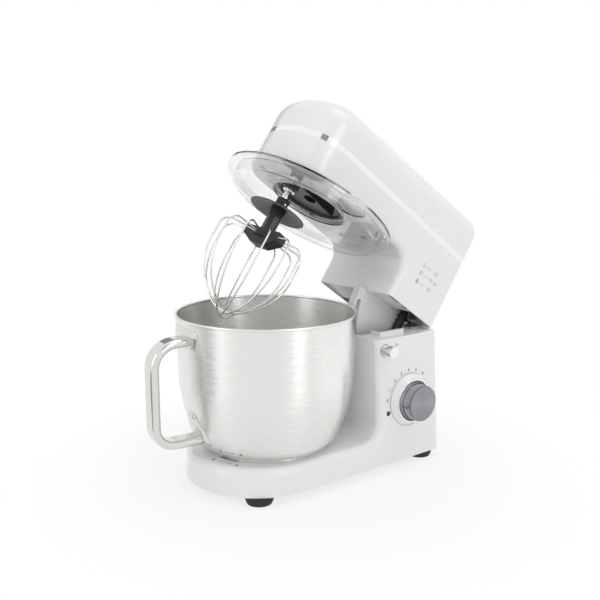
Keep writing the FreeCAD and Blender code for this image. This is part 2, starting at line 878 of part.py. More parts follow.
bezel_x = dial_x - s.dial_bezel_depth
plate_height = s.dial_bezel_depth + s.dial_plate_proud
collar_height = s.dial_bezel_depth + s.dial_collar_proud
bezel_height = s.dial_bezel_depth + s.dial_bezel_proud
shaft_way = s.dial_shaft_radius + s.running_gap
node("dial_bezel", turned("dial_bezel", [
    (shaft_way, 0),
    (s.dial_plate_radius, 0),
    (s.dial_plate_radius, plate_height),
    (s.dial_collar_radius, collar_height),
    (s.dial_bezel_radius, collar_height),
    (s.dial_bezel_radius, bezel_height),
    (s.dial_bezel_bore, bezel_height),
    (s.dial_bezel_bore, s.wall),
    (shaft_way, s.wall),
], (bezel_x, *dial_middle), "X"))
knob_x = bezel_x + s.wall + s.moving_gap
knob_height = dial_x + s.dial_proud - knob_x - s.dial_cap_thickness
shaft_grip = s.dial_shaft_radius + s.press_gap
node("dial_knob", turned("dial_knob", [
    (shaft_grip, 0),
    (s.dial_skirt_radius, 0),
    (s.dial_skirt_radius, s.dial_skirt_height),
    (s.dial_grip_radius + s.dial_grip_flare, s.dial_skirt_height + s.wall),
    (s.dial_grip_radius, knob_height),
    (0, knob_height),
    (0, s.dial_shaft_grip),
    (shaft_grip, s.dial_shaft_grip),
], (knob_x, *dial_middle), "X"))
node("dial_cap", rod("dial_cap", s.dial_cap_radius, s.dial_cap_thickness,
                     (knob_x + knob_height, *dial_middle), "X"))
switch_x = bezel_x - s.switch_depth
shaft_x = bezel_x - s.dial_shaft_tail
node("dial_shaft", rod("dial_shaft", s.dial_shaft_radius, knob_x + s.dial_shaft_grip - shaft_x,
                       (shaft_x, *dial_middle), "X"))
switch_half = s.switch_width / 2
switch_body = block("switch_body", (switch_x, s.dial_y - switch_half, s.dial_z - switch_half),
                    (bezel_x, s.dial_y + switch_half, s.dial_z + switch_half))
node("rotary_switch", without("rotary_switch", switch_body, rod(
    "switch_way", shaft_way, s.dial_shaft_tail + s.moving_gap,
    (shaft_x - s.moving_gap, *dial_middle), "X")))

# Control board on four posts inside the column, with its capacitor and heat sink

board_far_x = board_x + s.board_thickness
node("control_board", group(
    "control_board",
    block("board", (board_x, *board_low), (board_far_x, *board_high)),
    rod("capacitor", s.capacitor_radius, s.capacitor_length,
        (board_far_x, s.board_y + s.board_size / 4, s.board_z - s.board_size / 4), "X"),
    block("heat_sink", (board_far_x, s.board_y - s.heat_sink_width, s.board_z + s.boss_radius),
          (board_far_x + s.heat_sink_depth, s.board_y,
           s.board_z + s.boss_radius + s.heat_sink_height)),
))
safety_y = s.column_front_y + s.wall
node("safety_switch", block("safety_switch", (s.safety_x, safety_y, s.safety_z), (
    s.safety_x + s.safety_width, safety_y + s.safety_depth, s.safety_z + s.safety_height)))

# Head release: chrome sleeve and cap outside, plunger into the sector slot, guide and spring inside

sleeve_x = button_x - s.button_root
sleeve_length = s.button_root + s.button_proud - s.button_cap_height / 2
cap_x = sleeve_x + sleeve_length - s.button_cap_height / 2
node("button_sleeve", without(
    "button_sleeve",
    rod("button_sleeve_blank", s.button_radius, sleeve_length, (sleeve_x, *button_middle), "X"),
    rod("button_recess", s.button_cap_radius + s.press_gap, s.button_cap_height,
        (cap_x, *button_middle), "X")))
node("button_cap", rod("button_cap", s.button_cap_radius, s.button_cap_height,
                       (cap_x, *button_middle), "X"))
plunger_x = s.sector_near_x - s.sector_thickness - s.wall
node("lock_plunger", rod("lock_plunger", s.plunger_radius, sleeve_x - plunger_x,
                         (plunger_x, *button_middle), "X"))
guide_x = sleeve_x - s.button_spring_length - s.guide_length
guide_bore = s.plunger_radius + s.running_gap
guide_radius = s.plunger_radius + s.guide_wall
guide_blank = joined(
    "guide_blank",
    rod("guide_barrel", guide_radius, s.guide_length, (guide_x, *button_middle), "X"),
    block("guide_foot", (guide_x, s.column_front_y + s.wall, s.button_z - guide_radius),
          (guide_x + s.guide_length, s.button_y - guide_bore, s.button_z + guide_radius)),
)
node("plunger_guide", without("plunger_guide", guide_blank, rod(
    "guide_way", guide_bore, s.guide_length, (guide_x, *button_middle), "X")))
coil_radius = s.plunger_radius + s.coil_wire + s.coil_gap
spring_x = guide_x + s.guide_length + s.coil_wire + s.seat_gap
node("button_spring", coil("button_spring", coil_radius,
                           s.button_spring_length - s.coil_wire * 2 - s.seat_gap * 2,
                           (spring_x, *button_middle), "X"))

# Hinge on the column top: a bracket each side and the pin through them

bracket_x = s.mouth_half_width + s.bracket_set
bracket_far_x = bracket_x + s.bracket_thickness
pin_reach = bracket_far_x + s.hinge_pin_overhang


def hinge_bracket(name, side):
    """A standing plate with an eye for the pin and a foot on the column top."""
    low, high = span(side, bracket_x, bracket_far_x)
    foot_low, foot_high = span(side, bracket_x, bracket_x + s.bracket_foot_width)
    foot_y = s.hinge_y + s.bracket_foot_set
    plate = block(f"{name}_plate", (low, s.hinge_y - s.bracket_eye_radius, s.column_top_z),
                  (high, s.hinge_y + s.bracket_eye_radius - s.wall, hinge_z))
    eye = rod(f"{name}_eye", s.bracket_eye_radius, s.bracket_thickness, (low, s.hinge_y, hinge_z), "X")
    foot = block(f"{name}_foot", (foot_low, foot_y - s.bracket_foot_length, s.column_top_z),
                 (foot_high, foot_y, s.column_top_z + s.bracket_thickness))
    hole = rod(f"{name}_hole", s.hinge_pin_radius + s.press_gap, pin_reach * 2,
               (-pin_reach, s.hinge_y, hinge_z), "X")
    return without(name, joined(f"{name}_solid", plate, eye, foot), hole)


node("hinge_brackets", group("hinge_brackets", *[
    hinge_bracket(f"hinge_bracket{side}", side) for side in (-1, 1)
]))
node("hinge_pin", rod("hinge_pin", s.hinge_pin_radius, pin_reach * 2,
                      (-pin_reach, s.hinge_y, hinge_z), "X"))

# Head housings: a lower shell with the neck, a chrome band and a domed top cover

nose_x = s.nose_half_width - s.nose_corner
nose_front_y = s.nose_y - s.nose_length
nose_curve = (nose_x * nose_x + s.nose_length * s.nose_length - s.nose_corner * s.nose_corner) / (
    (s.nose_length - s.nose_corner) * 2)
nose_curve_y = nose_front_y + nose_curve
rear_x = s.head_rear_half_width - s.head_rear_corner
rear_y = s.head_rear_y - s.head_rear_corner
corner_step = s.nose_corner - s.head_rear_corner
side_run = root((rear_x - nose_x) * (rear_x - nose_x) + (rear_y - s.nose_y) * (rear_y - s.nose_y)
                - corner_step * corner_step)
side_lean = angle_of(rear_x - nose_x, rear_y - s.nose_y) - angle_of(corner_step, side_run)


def head_points(inset, square_back=False):
    """Plan of the head: a blunt oval nose and sides that widen to the back."""
    corner = s.nose_corner - inset
    back_corner = s.head_rear_corner - inset
    side_x = nose_x + corner * cosine(side_lean)
    side_y = s.nose_y - corner * sine(side_lean)
    share = (nose_curve - inset) / (nose_curve - s.nose_corner)
    meet_x = nose_x * share
    meet_y = nose_curve_y + (s.nose_y - nose_curve_y) * share
    back_y = s.head_rear_y - inset
    if square_back:
        back_x = side_x + (back_y - side_y) * tangent(side_lean)
        back = [(back_x, back_y), (-back_x, back_y)]
    else:
        turn_x = rear_x + back_corner * cosine(side_lean)
        turn_y = rear_y - back_corner * sine(side_lean)
        back = [
            (turn_x, turn_y),
            (rear_x, back_y, back_corner),
            (-rear_x, back_y),
            (-turn_x, turn_y, back_corner),
        ]
    return [
        (side_x, side_y, corner),
        *back,
        (-side_x, side_y),
        (-meet_x, meet_y, corner),
        (meet_x, meet_y, nose_curve - inset),
    ]


ahead_y = nose_front_y * 2
behind_y = s.head_rear_y * 2
above_z = s.column_top_z * 3


def lower_block(name, inset):
    """The head below the band, with the neck at its back, shrunk by an inset."""
    body = padded(name, "XY_Plane", head_points(inset), neck_rim_z, band_z - neck_rim_z)
    floor = floor_z + inset
    front = s.neck_front_y + inset
    bend = s.neck_root_round + inset
    trim(body, f"{name}_step", "YZ_Plane", [
        (ahead_y, no_inset),
        (front, no_inset),
        (front, floor - bend),
        (front - bend, floor, bend),
        (ahead_y, floor),
    ])

    def on_step_edge(middle):
        along_floor = abs(middle.z - floor) < EDGE_MATCH and middle.y < front - bend - EDGE_MATCH
        in_bend = (front - bend < middle.y < front - EDGE_MATCH
                   and floor - bend < middle.z < floor - EDGE_MATCH)
        up_neck = (abs(middle.y - front) < EDGE_MATCH
                   and neck_rim_z + EDGE_MATCH < middle.z < floor - bend - EDGE_MATCH)
        beside = abs(middle.x) > s.nose_half_width / 2
        return along_floor or (beside and (in_bend or up_neck))

    return rounded(body, f"{name}_edges", s.neck_edge_round - inset, on_step_edge)


lower_outer = lower_block("lower_outer", no_inset)
lower_core = lower_block("lower_core", s.wall)
floor_hole = rod("floor_hole", s.underside_radius + s.seat_gap, s.wall * 3,
                 (0, s.bowl_y, floor_z - s.wall))
node("head_lower_housing", without("head_lower_housing", lower_outer, lower_core, floor_hole),
     lifted=True)

band_outer = padded("band_outer", "XY_Plane", head_points(no_inset), band_z, s.band_height)
band_inner = padded("band_inner", "XY_Plane", head_points(s.band_thickness), band_z, s.band_height)
node("trim_band", without("trim_band", band_outer, band_inner), lifted=True)

top_slope = (s.rear_top_rise - s.nose_top_rise) / (s.head_rear_y - nose_front_y)


def cover_block(name, inset):
    """The domed head cover, with a top that rises to the back, shrunk by an inset."""
    body = padded(name, "XY_Plane", head_points(inset, square_back=True), band_top_z,
                  above_z - band_top_z)
    top = s.column_top_z + s.nose_top_rise - inset

    def top_at(y):
        return top + (y - nose_front_y) * top_slope

    trim(body, f"{name}_slope", "YZ_Plane", [
        (ahead_y, top_at(ahead_y)),
        (behind_y, top_at(behind_y)),
        (behind_y, above_z * 2),
        (ahead_y, above_z * 2),
    ])
    back_y = s.head_rear_y - inset

    def on_brow(middle):
        return abs(middle.z - top_at(middle.y)) < EDGE_MATCH and middle.y < back_y - EDGE_MATCH

    def on_back(middle):
        return abs(middle.y - back_y) < EDGE_MATCH and middle.z > band_top_z + EDGE_MATCH

    rounded(body, f"{name}_brow", s.head_top_round - inset, on_brow)
    return rounded(body, f"{name}_back", s.head_rear_corner - inset, on_back)


node("head_top_cover", without("head_top_cover", cover_block("cover_outer", no_inset),
                               cover_block("cover_core", s.wall)), lifted=True)

# Sector guide: a slotted quadrant that the lock plunger runs in, moulded on a plate that closes the neck

slot_run = s.hinge_y - s.button_y
slot_drop = hinge_z - s.button_z
slot_radius = root(slot_run * slot_run + slot_drop * slot_drop)
slot_start = angle_of(slot_drop, slot_run)
slot_end = slot_start + s.head_tilt
slot_half = s.plunger_radius + s.slot_gap
sector_radius = slot_radius + slot_half + s.sector_rim
sector_x = s.sector_near_x - s.sector_thickness


def sector_disc(name, radius, start, end):
    """A wedge about the hinge between two angles below the level line towards the nose."""
    return rod(name, radius, s.sector_thickness, (sector_x, s.hinge_y, hinge_z), "X",
               angle=end - start, spin=start - 90)


def slot_round(name, angle):
    """The round end of the arc slot at an angle below the level line."""
    end_y = s.hinge_y - slot_radius * cosine(angle)
    end_z = hinge_z - slot_radius * sine(angle)
    return rod(name, slot_half, s.sector_thickness, (sector_x, end_y, end_z), "X")


slot_arc = without("slot_arc", sector_disc("slot_outer", slot_radius + slot_half, slot_start, slot_end),
                   rod("slot_inner", slot_radius - slot_half, s.sector_thickness,
                       (sector_x, s.hinge_y, hinge_z), "X"))
quadrant = without(
    "quadrant",
    sector_disc("sector_blank", sector_radius, -s.sector_above, s.sector_below),
    rod("sector_inner", sector_radius - s.sector_depth, s.sector_thickness,
        (sector_x, s.hinge_y, hinge_z), "X"),
    slot_arc,
    slot_round("slot_low_end", slot_start),
    slot_round("slot_high_end", slot_end),
    block("sector_top", (no_inset, no_inset, yoke_z), (s.sector_near_x * 2, behind_y, above_z)),
    block("sector_brow", (no_inset, no_inset, neck_rim_z - s.moving_gap),
          (s.sector_near_x * 2, s.neck_front_y + s.wall + s.moving_gap, above_z)),
)
yoke_inset = s.wall + s.seat_gap
neck_plate_z = neck_rim_z + s.neck_plate_rise
neck_plate_y = s.neck_front_y + yoke_inset
neck_plate = padded("neck_plate", "XY_Plane", head_points(yoke_inset), neck_plate_z, s.wall)
trim(neck_plate, "neck_plate_front", "YZ_Plane", [
    (ahead_y, no_inset),
    (neck_plate_y, no_inset),
    (neck_plate_y, above_z),
    (ahead_y, above_z),
])
trim(neck_plate, "neck_plate_rear", "YZ_Plane", [
    (s.neck_plate_rear_y, no_inset),
    (behind_y, no_inset),
    (behind_y, above_z),
    (s.neck_plate_rear_y, above_z),
])
rounded(neck_plate, "neck_plate_corners", s.neck_edge_round - yoke_inset,
        lambda middle: abs(middle.y - neck_plate_y) < EDGE_MATCH and abs(middle.x) > s.nose_half_width / 2)
slit_y = neck_plate_y + s.neck_slit_set
neck_slits = []
for side in (-1, 1):
    low, high = span(side, s.neck_slit_x, s.neck_slit_x + s.neck_slit_width)
    neck_slits.append(block(f"neck_slit{side}", (low, slit_y, neck_plate_z - s.wall),
                            (high, slit_y + s.neck_slit_length, neck_plate_z + s.wall * 2)))
node("sector_guide", joined("sector_guide", quadrant, without("neck_cover", neck_plate, *neck_slits)),
     lifted=True)

# Yoke: the plate across the neck with two hinge ears, their bushes, and the wire sleeve through it

yoke_front_y = s.neck_front_y + s.neck_edge_round + s.seat_gap
yoke_plate = padded("yoke_plate", "XY_Plane", head_points(yoke_inset), yoke_z, s.yoke_thickness)
trim(yoke_plate, "yoke_front", "YZ_Plane", [
    (ahead_y, no_inset),
    (yoke_front_y, no_inset),
    (yoke_front_y, above_z),
    (ahead_y, above_z),
])
ear_far_x = bracket_x - s.ear_gap
ear_x = ear_far_x - s.hinge_ear_thickness
bush_radius = s.hinge_pin_radius + s.bush_wall
ears = []
ear_holes = []
bushes = []
for side in (-1, 1):
    low, high = span(side, ear_x, ear_far_x)
    ears.append(block(f"ear_plate{side}", (low, s.hinge_y - s.hinge_eye_radius, hinge_z),
                      (high, s.hinge_y + s.hinge_eye_radius, yoke_top_z)))
    ears.append(rod(f"ear_eye{side}", s.hinge_eye_radius, s.hinge_ear_thickness,
                    (low, s.hinge_y, hinge_z), "X"))
    ear_holes.append(rod(f"ear_hole{side}", bush_radius + s.press_gap, s.hinge_ear_thickness,
                         (low, s.hinge_y, hinge_z), "X"))
    bushes.append(tube(f"hinge_bush{side}", s.hinge_pin_radius + s.running_gap, bush_radius,
                       s.hinge_ear_thickness, (low, s.hinge_y, hinge_z), "X"))
sleeve_top_z = yoke_top_z + s.motor_bell
sleeve_hole = rod("sleeve_hole", s.sleeve_radius + s.seat_gap, s.yoke_thickness,
                  (s.sleeve_x, s.sleeve_y, yoke_z))
yoke_solid = joined("yoke_solid", yoke_plate, *ears)
node("yoke", without("yoke", yoke_solid, *ear_holes, sleeve_hole), lifted=True)
node("hinge_bushes", group("hinge_bushes", *bushes), lifted=True)
node("wire_sleeve", tube("wire_sleeve", s.sleeve_radius - s.sleeve_wall, s.sleeve_radius,
                         s.sleeve_length, (s.sleeve_x, s.sleeve_y, sleeve_top_z - s.sleeve_length)),
     lifted=True)

# Underside of the head: a cover ring round the planet dish, held by four screws

ring_reach = s.underside_screw_circle * cosine(45)
ring_places = [(x * ring_reach, s.bowl_y + y * ring_reach) for x in (-1, 1) for y in (-1, 1)]
node("underside_cover", without(
    "underside_cover",
    rod("underside_blank", s.underside_radius, s.wall, (0, s.bowl_y, floor_z)),
    rod("underside_bore", s.carrier_radius + s.carrier_gap, s.wall, (0, s.bowl_y, floor_z)),
    *[rod(f"underside_hole_{index}", s.screw_radius + s.press_gap, s.wall, (x, y, floor_z))
      for index, (x, y) in enumerate(ring_places)],
), lifted=True)
node("head_screws", group("head_screws", *[
    screw(f"head_screw_{index}", x, y, floor_z) for index, (x, y) in enumerate(ring_places)
]), lifted=True)

# Gear teeth: involute flanks drawn with a few straight facets

PRESSURE_ANGLE = math.radians(25)
ADDENDUM = 0.9
DEDENDUM = 1.15
FLANK_POINTS = 4


def involute(angle):
    return math.tan(angle) - angle


def tooth_wire(teeth, pitch, inner, outer, slack, first_angle):
    """Closed polygon of a toothed rim, with one tooth centred on the first angle in degrees."""
    base = pitch * math.cos(PRESSURE_ANGLE)
    half_tooth = math.pi / (2 * teeth) - slack / (4 * pitch) + involute(PRESSURE_ANGLE)
    flank_foot = max(base, inner)
    flank_step = (outer - flank_foot) / (FLANK_POINTS - 1)
    flank = [flank_foot + flank_step * step for step in range(FLANK_POINTS)]
    radii = flank if inner >= base else [inner] + flank
    profile = [(radius, half_tooth - involute(math.acos(min(1.0, base / radius)))) for radius in radii]
    corners = []
    for index in range(teeth):
        middle = math.radians(first_angle) + 2 * math.pi * index / teeth
        corners += [(radius, middle - half) for radius, half in profile]
        corners += [(radius, middle + half) for radius, half in reversed(profile)]
    points = [FreeCAD.Vector(radius * math.cos(a), radius * math.sin(a), 0) for radius, a in corners]
    return Part.Wire(Part.makePolygon(points + points[:1]))


def circle_wire(radius):
    return Part.Wire(Part.makeCircle(radius))


def gear_piece(name, rim, hole, height, at):
    """A flat toothed piece between an outer and an inner wire."""
    made = doc.addObject("Part::Feature", name)
    up = FreeCAD.Vector(0, 0, float(height))
    made.Shape = Part.Face(rim).extrude(up).cut(Part.Face(hole).extrude(up))
    return place(made, at)


def spur_gear(name, teeth, module, bore, at, first_angle):
    pitch = float(module) * teeth / 2
    rim = tooth_wire(teeth, pitch, pitch - DEDENDUM * float(module), pitch + ADDENDUM * float(module),
                     float(s.gear_backlash), first_angle)
    return gear_piece(name, rim, circle_wire(float(bore)), s.gear_width, at)


ring_teeth = int(s.ring_teeth)
pinion_teeth = int(s.pinion_teeth)
main_teeth = int(s.main_teeth)
input_teeth = int(s.input_teeth)
ring_module = s.tool_offset * 2 / (ring_teeth - pinion_teeth)
ring_pitch = float(ring_module) * ring_teeth / 2
ring_root = ring_pitch + DEDENDUM * float(ring_module)
ring_hole = tooth_wire(ring_teeth, ring_pitch, ring_pitch - ADDENDUM * float(ring_module), ring_root,
                       -float(s.gear_backlash), -90)
node("ring_gear", gear_piece("ring_gear", circle_wire(ring_root + float(s.ring_gear_wall)), ring_hole,
                             ring_gear_height, (0, s.bowl_y, ring_gear_z)), lifted=True)

# Drive frames: a lower plate on posts and an upper plate that together carry the shafts in ball bearings

bearing_radius = {
    shaft: shaft_radius + s.bearing_wall
    for shaft, shaft_radius in (
        ("output", s.output_shaft_radius),
        ("input", s.input_shaft_radius),
        ("motor", s.motor_shaft_radius),
    )
}
shaft_y = {"output": s.bowl_y, "input": input_y, "motor": s.motor_y}
plate_nose_y = s.bowl_y - s.gear_plate_nose
plate_tail_y = input_y + s.gear_plate_tail
corner_x = s.gear_plate_half_width - s.boss_radius * 2
corner_places = [
    (side * corner_x, y)
    for side in (-1, 1)
    for y in (plate_nose_y + s.boss_radius * 2, plate_tail_y - s.boss_radius * 2)
]
inner_floor_z = floor_z + s.wall
motor_ring = s.motor_radius - s.motor_pillar_radius - s.moving_gap
pillar_x = motor_ring * cosine(s.motor_pillar_angle)
pillar_y = motor_ring * sine(s.motor_pillar_angle)
motor_places = [(x * pillar_x, s.motor_y + y * pillar_y) for x in (-1, 1) for y in (-1, 1)]


def bearing_seats(name, shafts, z):
    """Round seats for ball bearings at a height."""
    return [
        rod(f"{name}_{shaft}", bearing_radius[shaft] + s.press_gap, s.bearing_width,
            (0, shaft_y[shaft], z))
        for shaft in shafts
    ]


frame_posts = [
    rod(f"frame_post_{index}", s.boss_radius, plate_z - inner_floor_z + s.bearing_width / 2,
        (x, y, inner_floor_z))
    for index, (x, y) in enumerate(corner_places + ring_places)
]
frame_plate = block("frame_plate", (-s.gear_plate_half_width, plate_nose_y, plate_z),
                    (s.gear_plate_half_width, plate_tail_y, plate_top_z))
node("drive_frame", without(
    "drive_frame",
    joined("frame_solid", frame_plate, *frame_posts),
    *bearing_seats("frame_seat", ("output", "input"), plate_z),
    *[rod(f"frame_screw_hole_{index}", s.screw_radius + s.press_gap, s.screw_length, (x, y, floor_z))
      for index, (x, y) in enumerate(ring_places)],
), lifted=True)
top_post_height = top_plate_z - plate_top_z + s.bearing_width / 2
top_posts = [
    rod(f"top_post_{index}", s.boss_radius, top_post_height, (x, y, plate_top_z))
    for index, (x, y) in enumerate(corner_places)
]
top_posts += [
    rod(f"motor_post_{index}", s.motor_pillar_radius, top_post_height, (x, y, plate_top_z))
    for index, (x, y) in enumerate(motor_places)
]
top_plates = [
    block("top_plate_gears", (-s.gear_plate_half_width, plate_nose_y, top_plate_z),
          (s.gear_plate_half_width, plate_tail_y, drive_top_z)),
    block("top_plate_motor", (-s.motor_radius, plate_tail_y - s.wall, top_plate_z),
          (s.motor_radius, s.motor_y + s.motor_radius, drive_top_z)),
]
node("drive_top_frame", without(
    "drive_top_frame",
    joined("top_frame_solid", *top_plates, *top_posts),
    *bearing_seats("top_seat", ("output", "input", "motor"), top_plate_z),
), lifted=True)
motor_bearing_z = yoke_top_z + s.motor_bell / 2
bearing_places = [(shaft, z) for shaft in ("output", "input") for z in (plate_z, top_plate_z)]
bearing_places += [("motor", motor_bearing_z), ("motor", top_plate_z)]
node("ball_bearings", group("ball_bearings", *[
    tube(f"ball_bearing_{index}", bearing_radius[shaft] - s.bearing_wall + s.running_gap,
         bearing_radius[shaft], s.bearing_width, (0, shaft_y[shaft], z))
    for index, (shaft, z) in enumerate(bearing_places)
]), lifted=True)

# Motor: end frame on the yoke, stator with its windings, brushes, and the rotor that turns in them

motor_z = plate_top_z - s.motor_stack
bearing_top_z = motor_bearing_z + s.bearing_width
commutator_z = bearing_top_z + s.moving_gap * 2
brush_z = commutator_z + s.moving_gap * 2
brush_start = s.commutator_radius + s.seat_gap
holder_start = brush_start + s.brush_length / 2
bell_pieces = [
    rod("bell_disc", s.motor_radius, s.motor_bell, (0, s.motor_y, yoke_top_z)),
    rod("bell_boss", bearing_radius["motor"] + s.wall, bearing_top_z - yoke_top_z,
        (0, s.motor_y, yoke_top_z)),
]
bell_pieces += [
    rod(f"bell_pillar_{index}", s.motor_pillar_radius, motor_z - yoke_top_z, (x, y, yoke_top_z))
    for index, (x, y) in enumerate(motor_places)
]
brushes = []
for side in (-1, 1):
    near, far = span(side, holder_start, brush_start + s.brush_length)
    bell_pieces.append(block(f"brush_holder{side}", (-s.brush_width / 2, s.motor_y + near, yoke_top_z),
                             (s.brush_width / 2, s.motor_y + far, brush_z)))
    near, far = span(side, brush_start, brush_start + s.brush_length)
    brushes.append(block(f"carbon_brush{side}", (-s.brush_width / 2, s.motor_y + near, brush_z),
                         (s.brush_width / 2, s.motor_y + far, brush_z + s.brush_width)))
node("motor_frame", without(
    "motor_frame",
    joined("bell_solid", *bell_pieces),
    rod("bell_bearing_seat", bearing_radius["motor"] + s.press_gap, s.bearing_width,
        (0, s.motor_y, motor_bearing_z)),
), lifted=True)
stator_bore = s.rotor_radius + s.motor_air_gap
node("motor_stator", tube("motor_stator", stator_bore, s.motor_radius, s.motor_stack,
                          (0, s.motor_y, motor_z)), lifted=True)
winding_radius = motor_ring - s.motor_pillar_radius - s.moving_gap
winding_height = motor_z - commutator_z - s.commutator_height - s.moving_gap * 2
node("motor_windings", tube("motor_windings", stator_bore, winding_radius, winding_height,
                            (0, s.motor_y, motor_z - winding_height)), lifted=True)
node("carbon_brushes", group("carbon_brushes", *brushes), lifted=True)

shaft_fit = s.motor_shaft_radius + s.press_gap
node("motor_shaft", rod("motor_shaft", s.motor_shaft_radius, drive_top_z - motor_bearing_z,
                        (0, s.motor_y, motor_bearing_z)), lifted=True)
node("armature", tube("armature", shaft_fit, s.rotor_radius, s.motor_stack, (0, s.motor_y, motor_z)),
     lifted=True)
node("commutator", tube("commutator", shaft_fit, s.commutator_radius, s.commutator_height,
                        (0, s.motor_y, commutator_z)), lifted=True)
fan_z = plate_top_z + s.gear_space
fan_blades = [
    rod(f"fan_blade_{index}", s.fan_radius, s.fan_height, (0, s.motor_y, fan_z),
        angle=s.fan_blade_angle, spin=360 / s.fan_blades * index)
    for index in range(int(s.fan_blades))
]
fan_solid = joined(
    "fan_solid",
    rod("fan_disc", s.fan_radius, s.pulley_flange, (0, s.motor_y, fan_z)),
    rod("fan_hub", s.commutator_radius, s.fan_height, (0, s.motor_y, fan_z)),
    *fan_blades,
)
node("cooling_fan", without("cooling_fan", fan_solid, rod(
    "fan_bore", shaft_fit, s.fan_height, (0, s.motor_y, fan_z))), lifted=True)


def pulley(name, bore, radius, at):
    """A flat-belt pulley with a flange at each end."""
    flange = radius + s.pulley_flange_rise
    return turned(name, [
        (bore, no_inset),
        (flange, no_inset),
        (flange, s.pulley_flange),
        (radius, s.pulley_flange),
        (radius, s.pulley_width - s.pulley_flange),
        (flange, s.pulley_width - s.pulley_flange),
        (flange, s.pulley_width),
        (bore, s.pulley_width),
    ], at)


node("motor_pulley", pulley("motor_pulley", shaft_fit, s.motor_pulley_radius,
                            (0, s.motor_y, pulley_z)), lifted=True)

# Belt stage: the belt, the large pulley and the input shaft with its pinion

node("input_shaft", rod("input_shaft", s.input_shaft_radius, drive_top_z - plate_z,
                        (0, input_y, plate_z)), lifted=True)
input_fit = s.input_shaft_radius + s.press_gap
node("large_pulley", pulley("large_pulley", input_fit, s.pulley_radius, (0, input_y, pulley_z)),
     lifted=True)
node("input_pinion", spur_gear("input_pinion", input_teeth, s.main_gear_module, input_fit,
                               (0, input_y, main_gear_z), -90 + 180 / input_teeth), lifted=True)
belt_sine = (s.pulley_radius - s.motor_pulley_radius) / (s.motor_y - input_y)
belt_cosine = root(1 - belt_sine * belt_sine)


def belt_loop(name, rise):
    """A solid over both pulleys, at a height above their rims."""
    big = s.pulley_radius + rise
    small = s.motor_pulley_radius + rise
    edge = s.pulley_flange + s.moving_gap
    return padded(name, "XY_Plane", [
        (big * belt_cosine, input_y + big * belt_sine, big),
        (small * belt_cosine, s.motor_y + small * belt_sine),
        (-small * belt_cosine, s.motor_y + small * belt_sine, small),
        (-big * belt_cosine, input_y + big * belt_sine),
        (no_inset, input_y - big, big),
    ], pulley_z + edge, s.pulley_width - edge * 2)


node("drive_belt", without("drive_belt", belt_loop("belt_outer", s.belt_gap + s.belt_thickness),
                           belt_loop("belt_inner", s.belt_gap)), lifted=True)

# Planet stage: the carrier dish with the main gear on its shaft, and the tool shaft with its pinion

output_fit = s.output_shaft_radius + s.press_gap
dish = s.carrier_radius - s.carrier_rim
carrier_dish = turned("carrier_dish", [
    (output_fit, s.carrier_recess),
    (dish, s.carrier_recess),
    (dish, no_inset),
    (s.carrier_radius, no_inset),
    (s.carrier_radius, s.carrier_thickness),
    (output_fit, s.carrier_thickness),
], (0, s.bowl_y, carrier_z))
tool_boss_height = carrier_top_z - boss_z
node("planet_carrier", without(
    "planet_carrier",
    joined("carrier_solid", carrier_dish,
           rod("carrier_boss", s.carrier_boss_radius, tool_boss_height, (0, tool_y, boss_z))),
    rod("carrier_tool_way", s.tool_shaft_radius + s.running_gap, tool_boss_height, (0, tool_y, boss_z)),
), lifted=True)
output_z = carrier_z + s.carrier_recess
node("output_shaft", rod("output_shaft", s.output_shaft_radius, drive_top_z - output_z,
                         (0, s.bowl_y, output_z)), lifted=True)
node("main_gear", spur_gear("main_gear", main_teeth, s.main_gear_module, output_fit,
                            (0, s.bowl_y, main_gear_z), 90), lifted=True)
bore_z = hub_top_z - s.whisk_bore
tool_end_z = bore_z + s.whisk_spring_length
pinion_z = ring_gear_z + s.moving_gap * 2
cross_pin_z = hub_top_z - s.cross_pin_drop
cross_pin_reach = s.whisk_hub_radius - s.moving_gap
node("tool_shaft", without(
    "tool_shaft",
    rod("tool_shaft_bar", s.tool_shaft_radius, pinion_z + s.gear_width - tool_end_z,
        (0, tool_y, tool_end_z)),
    rod("cross_pin_hole", s.cross_pin_radius + s.press_gap, cross_pin_reach * 2,
        (-cross_pin_reach, tool_y, cross_pin_z), "X"),
), lifted=True)
tool_fit = s.tool_shaft_radius + s.press_gap
node("planet_pinion", spur_gear("planet_pinion", pinion_teeth, ring_module, tool_fit,
                                (0, tool_y, pinion_z), -90), lifted=True)
node("cross_pin", rod("cross_pin", s.cross_pin_radius, cross_pin_reach * 2,
                      (-cross_pin_reach, tool_y, cross_pin_z), "X"), lifted=True)

# Whisk: a hub that locks over the cross pin, with wings, a shield disc and crossing wire loops


def round_section(centre, radius):
    """Points of a circle drawn as four quarter arcs."""
    x, y = centre
    return [
        (x + radius, y, radius),
        (x, y + radius, radius),
        (x - radius, y, radius),
        (x, y - radius, radius),
    ]


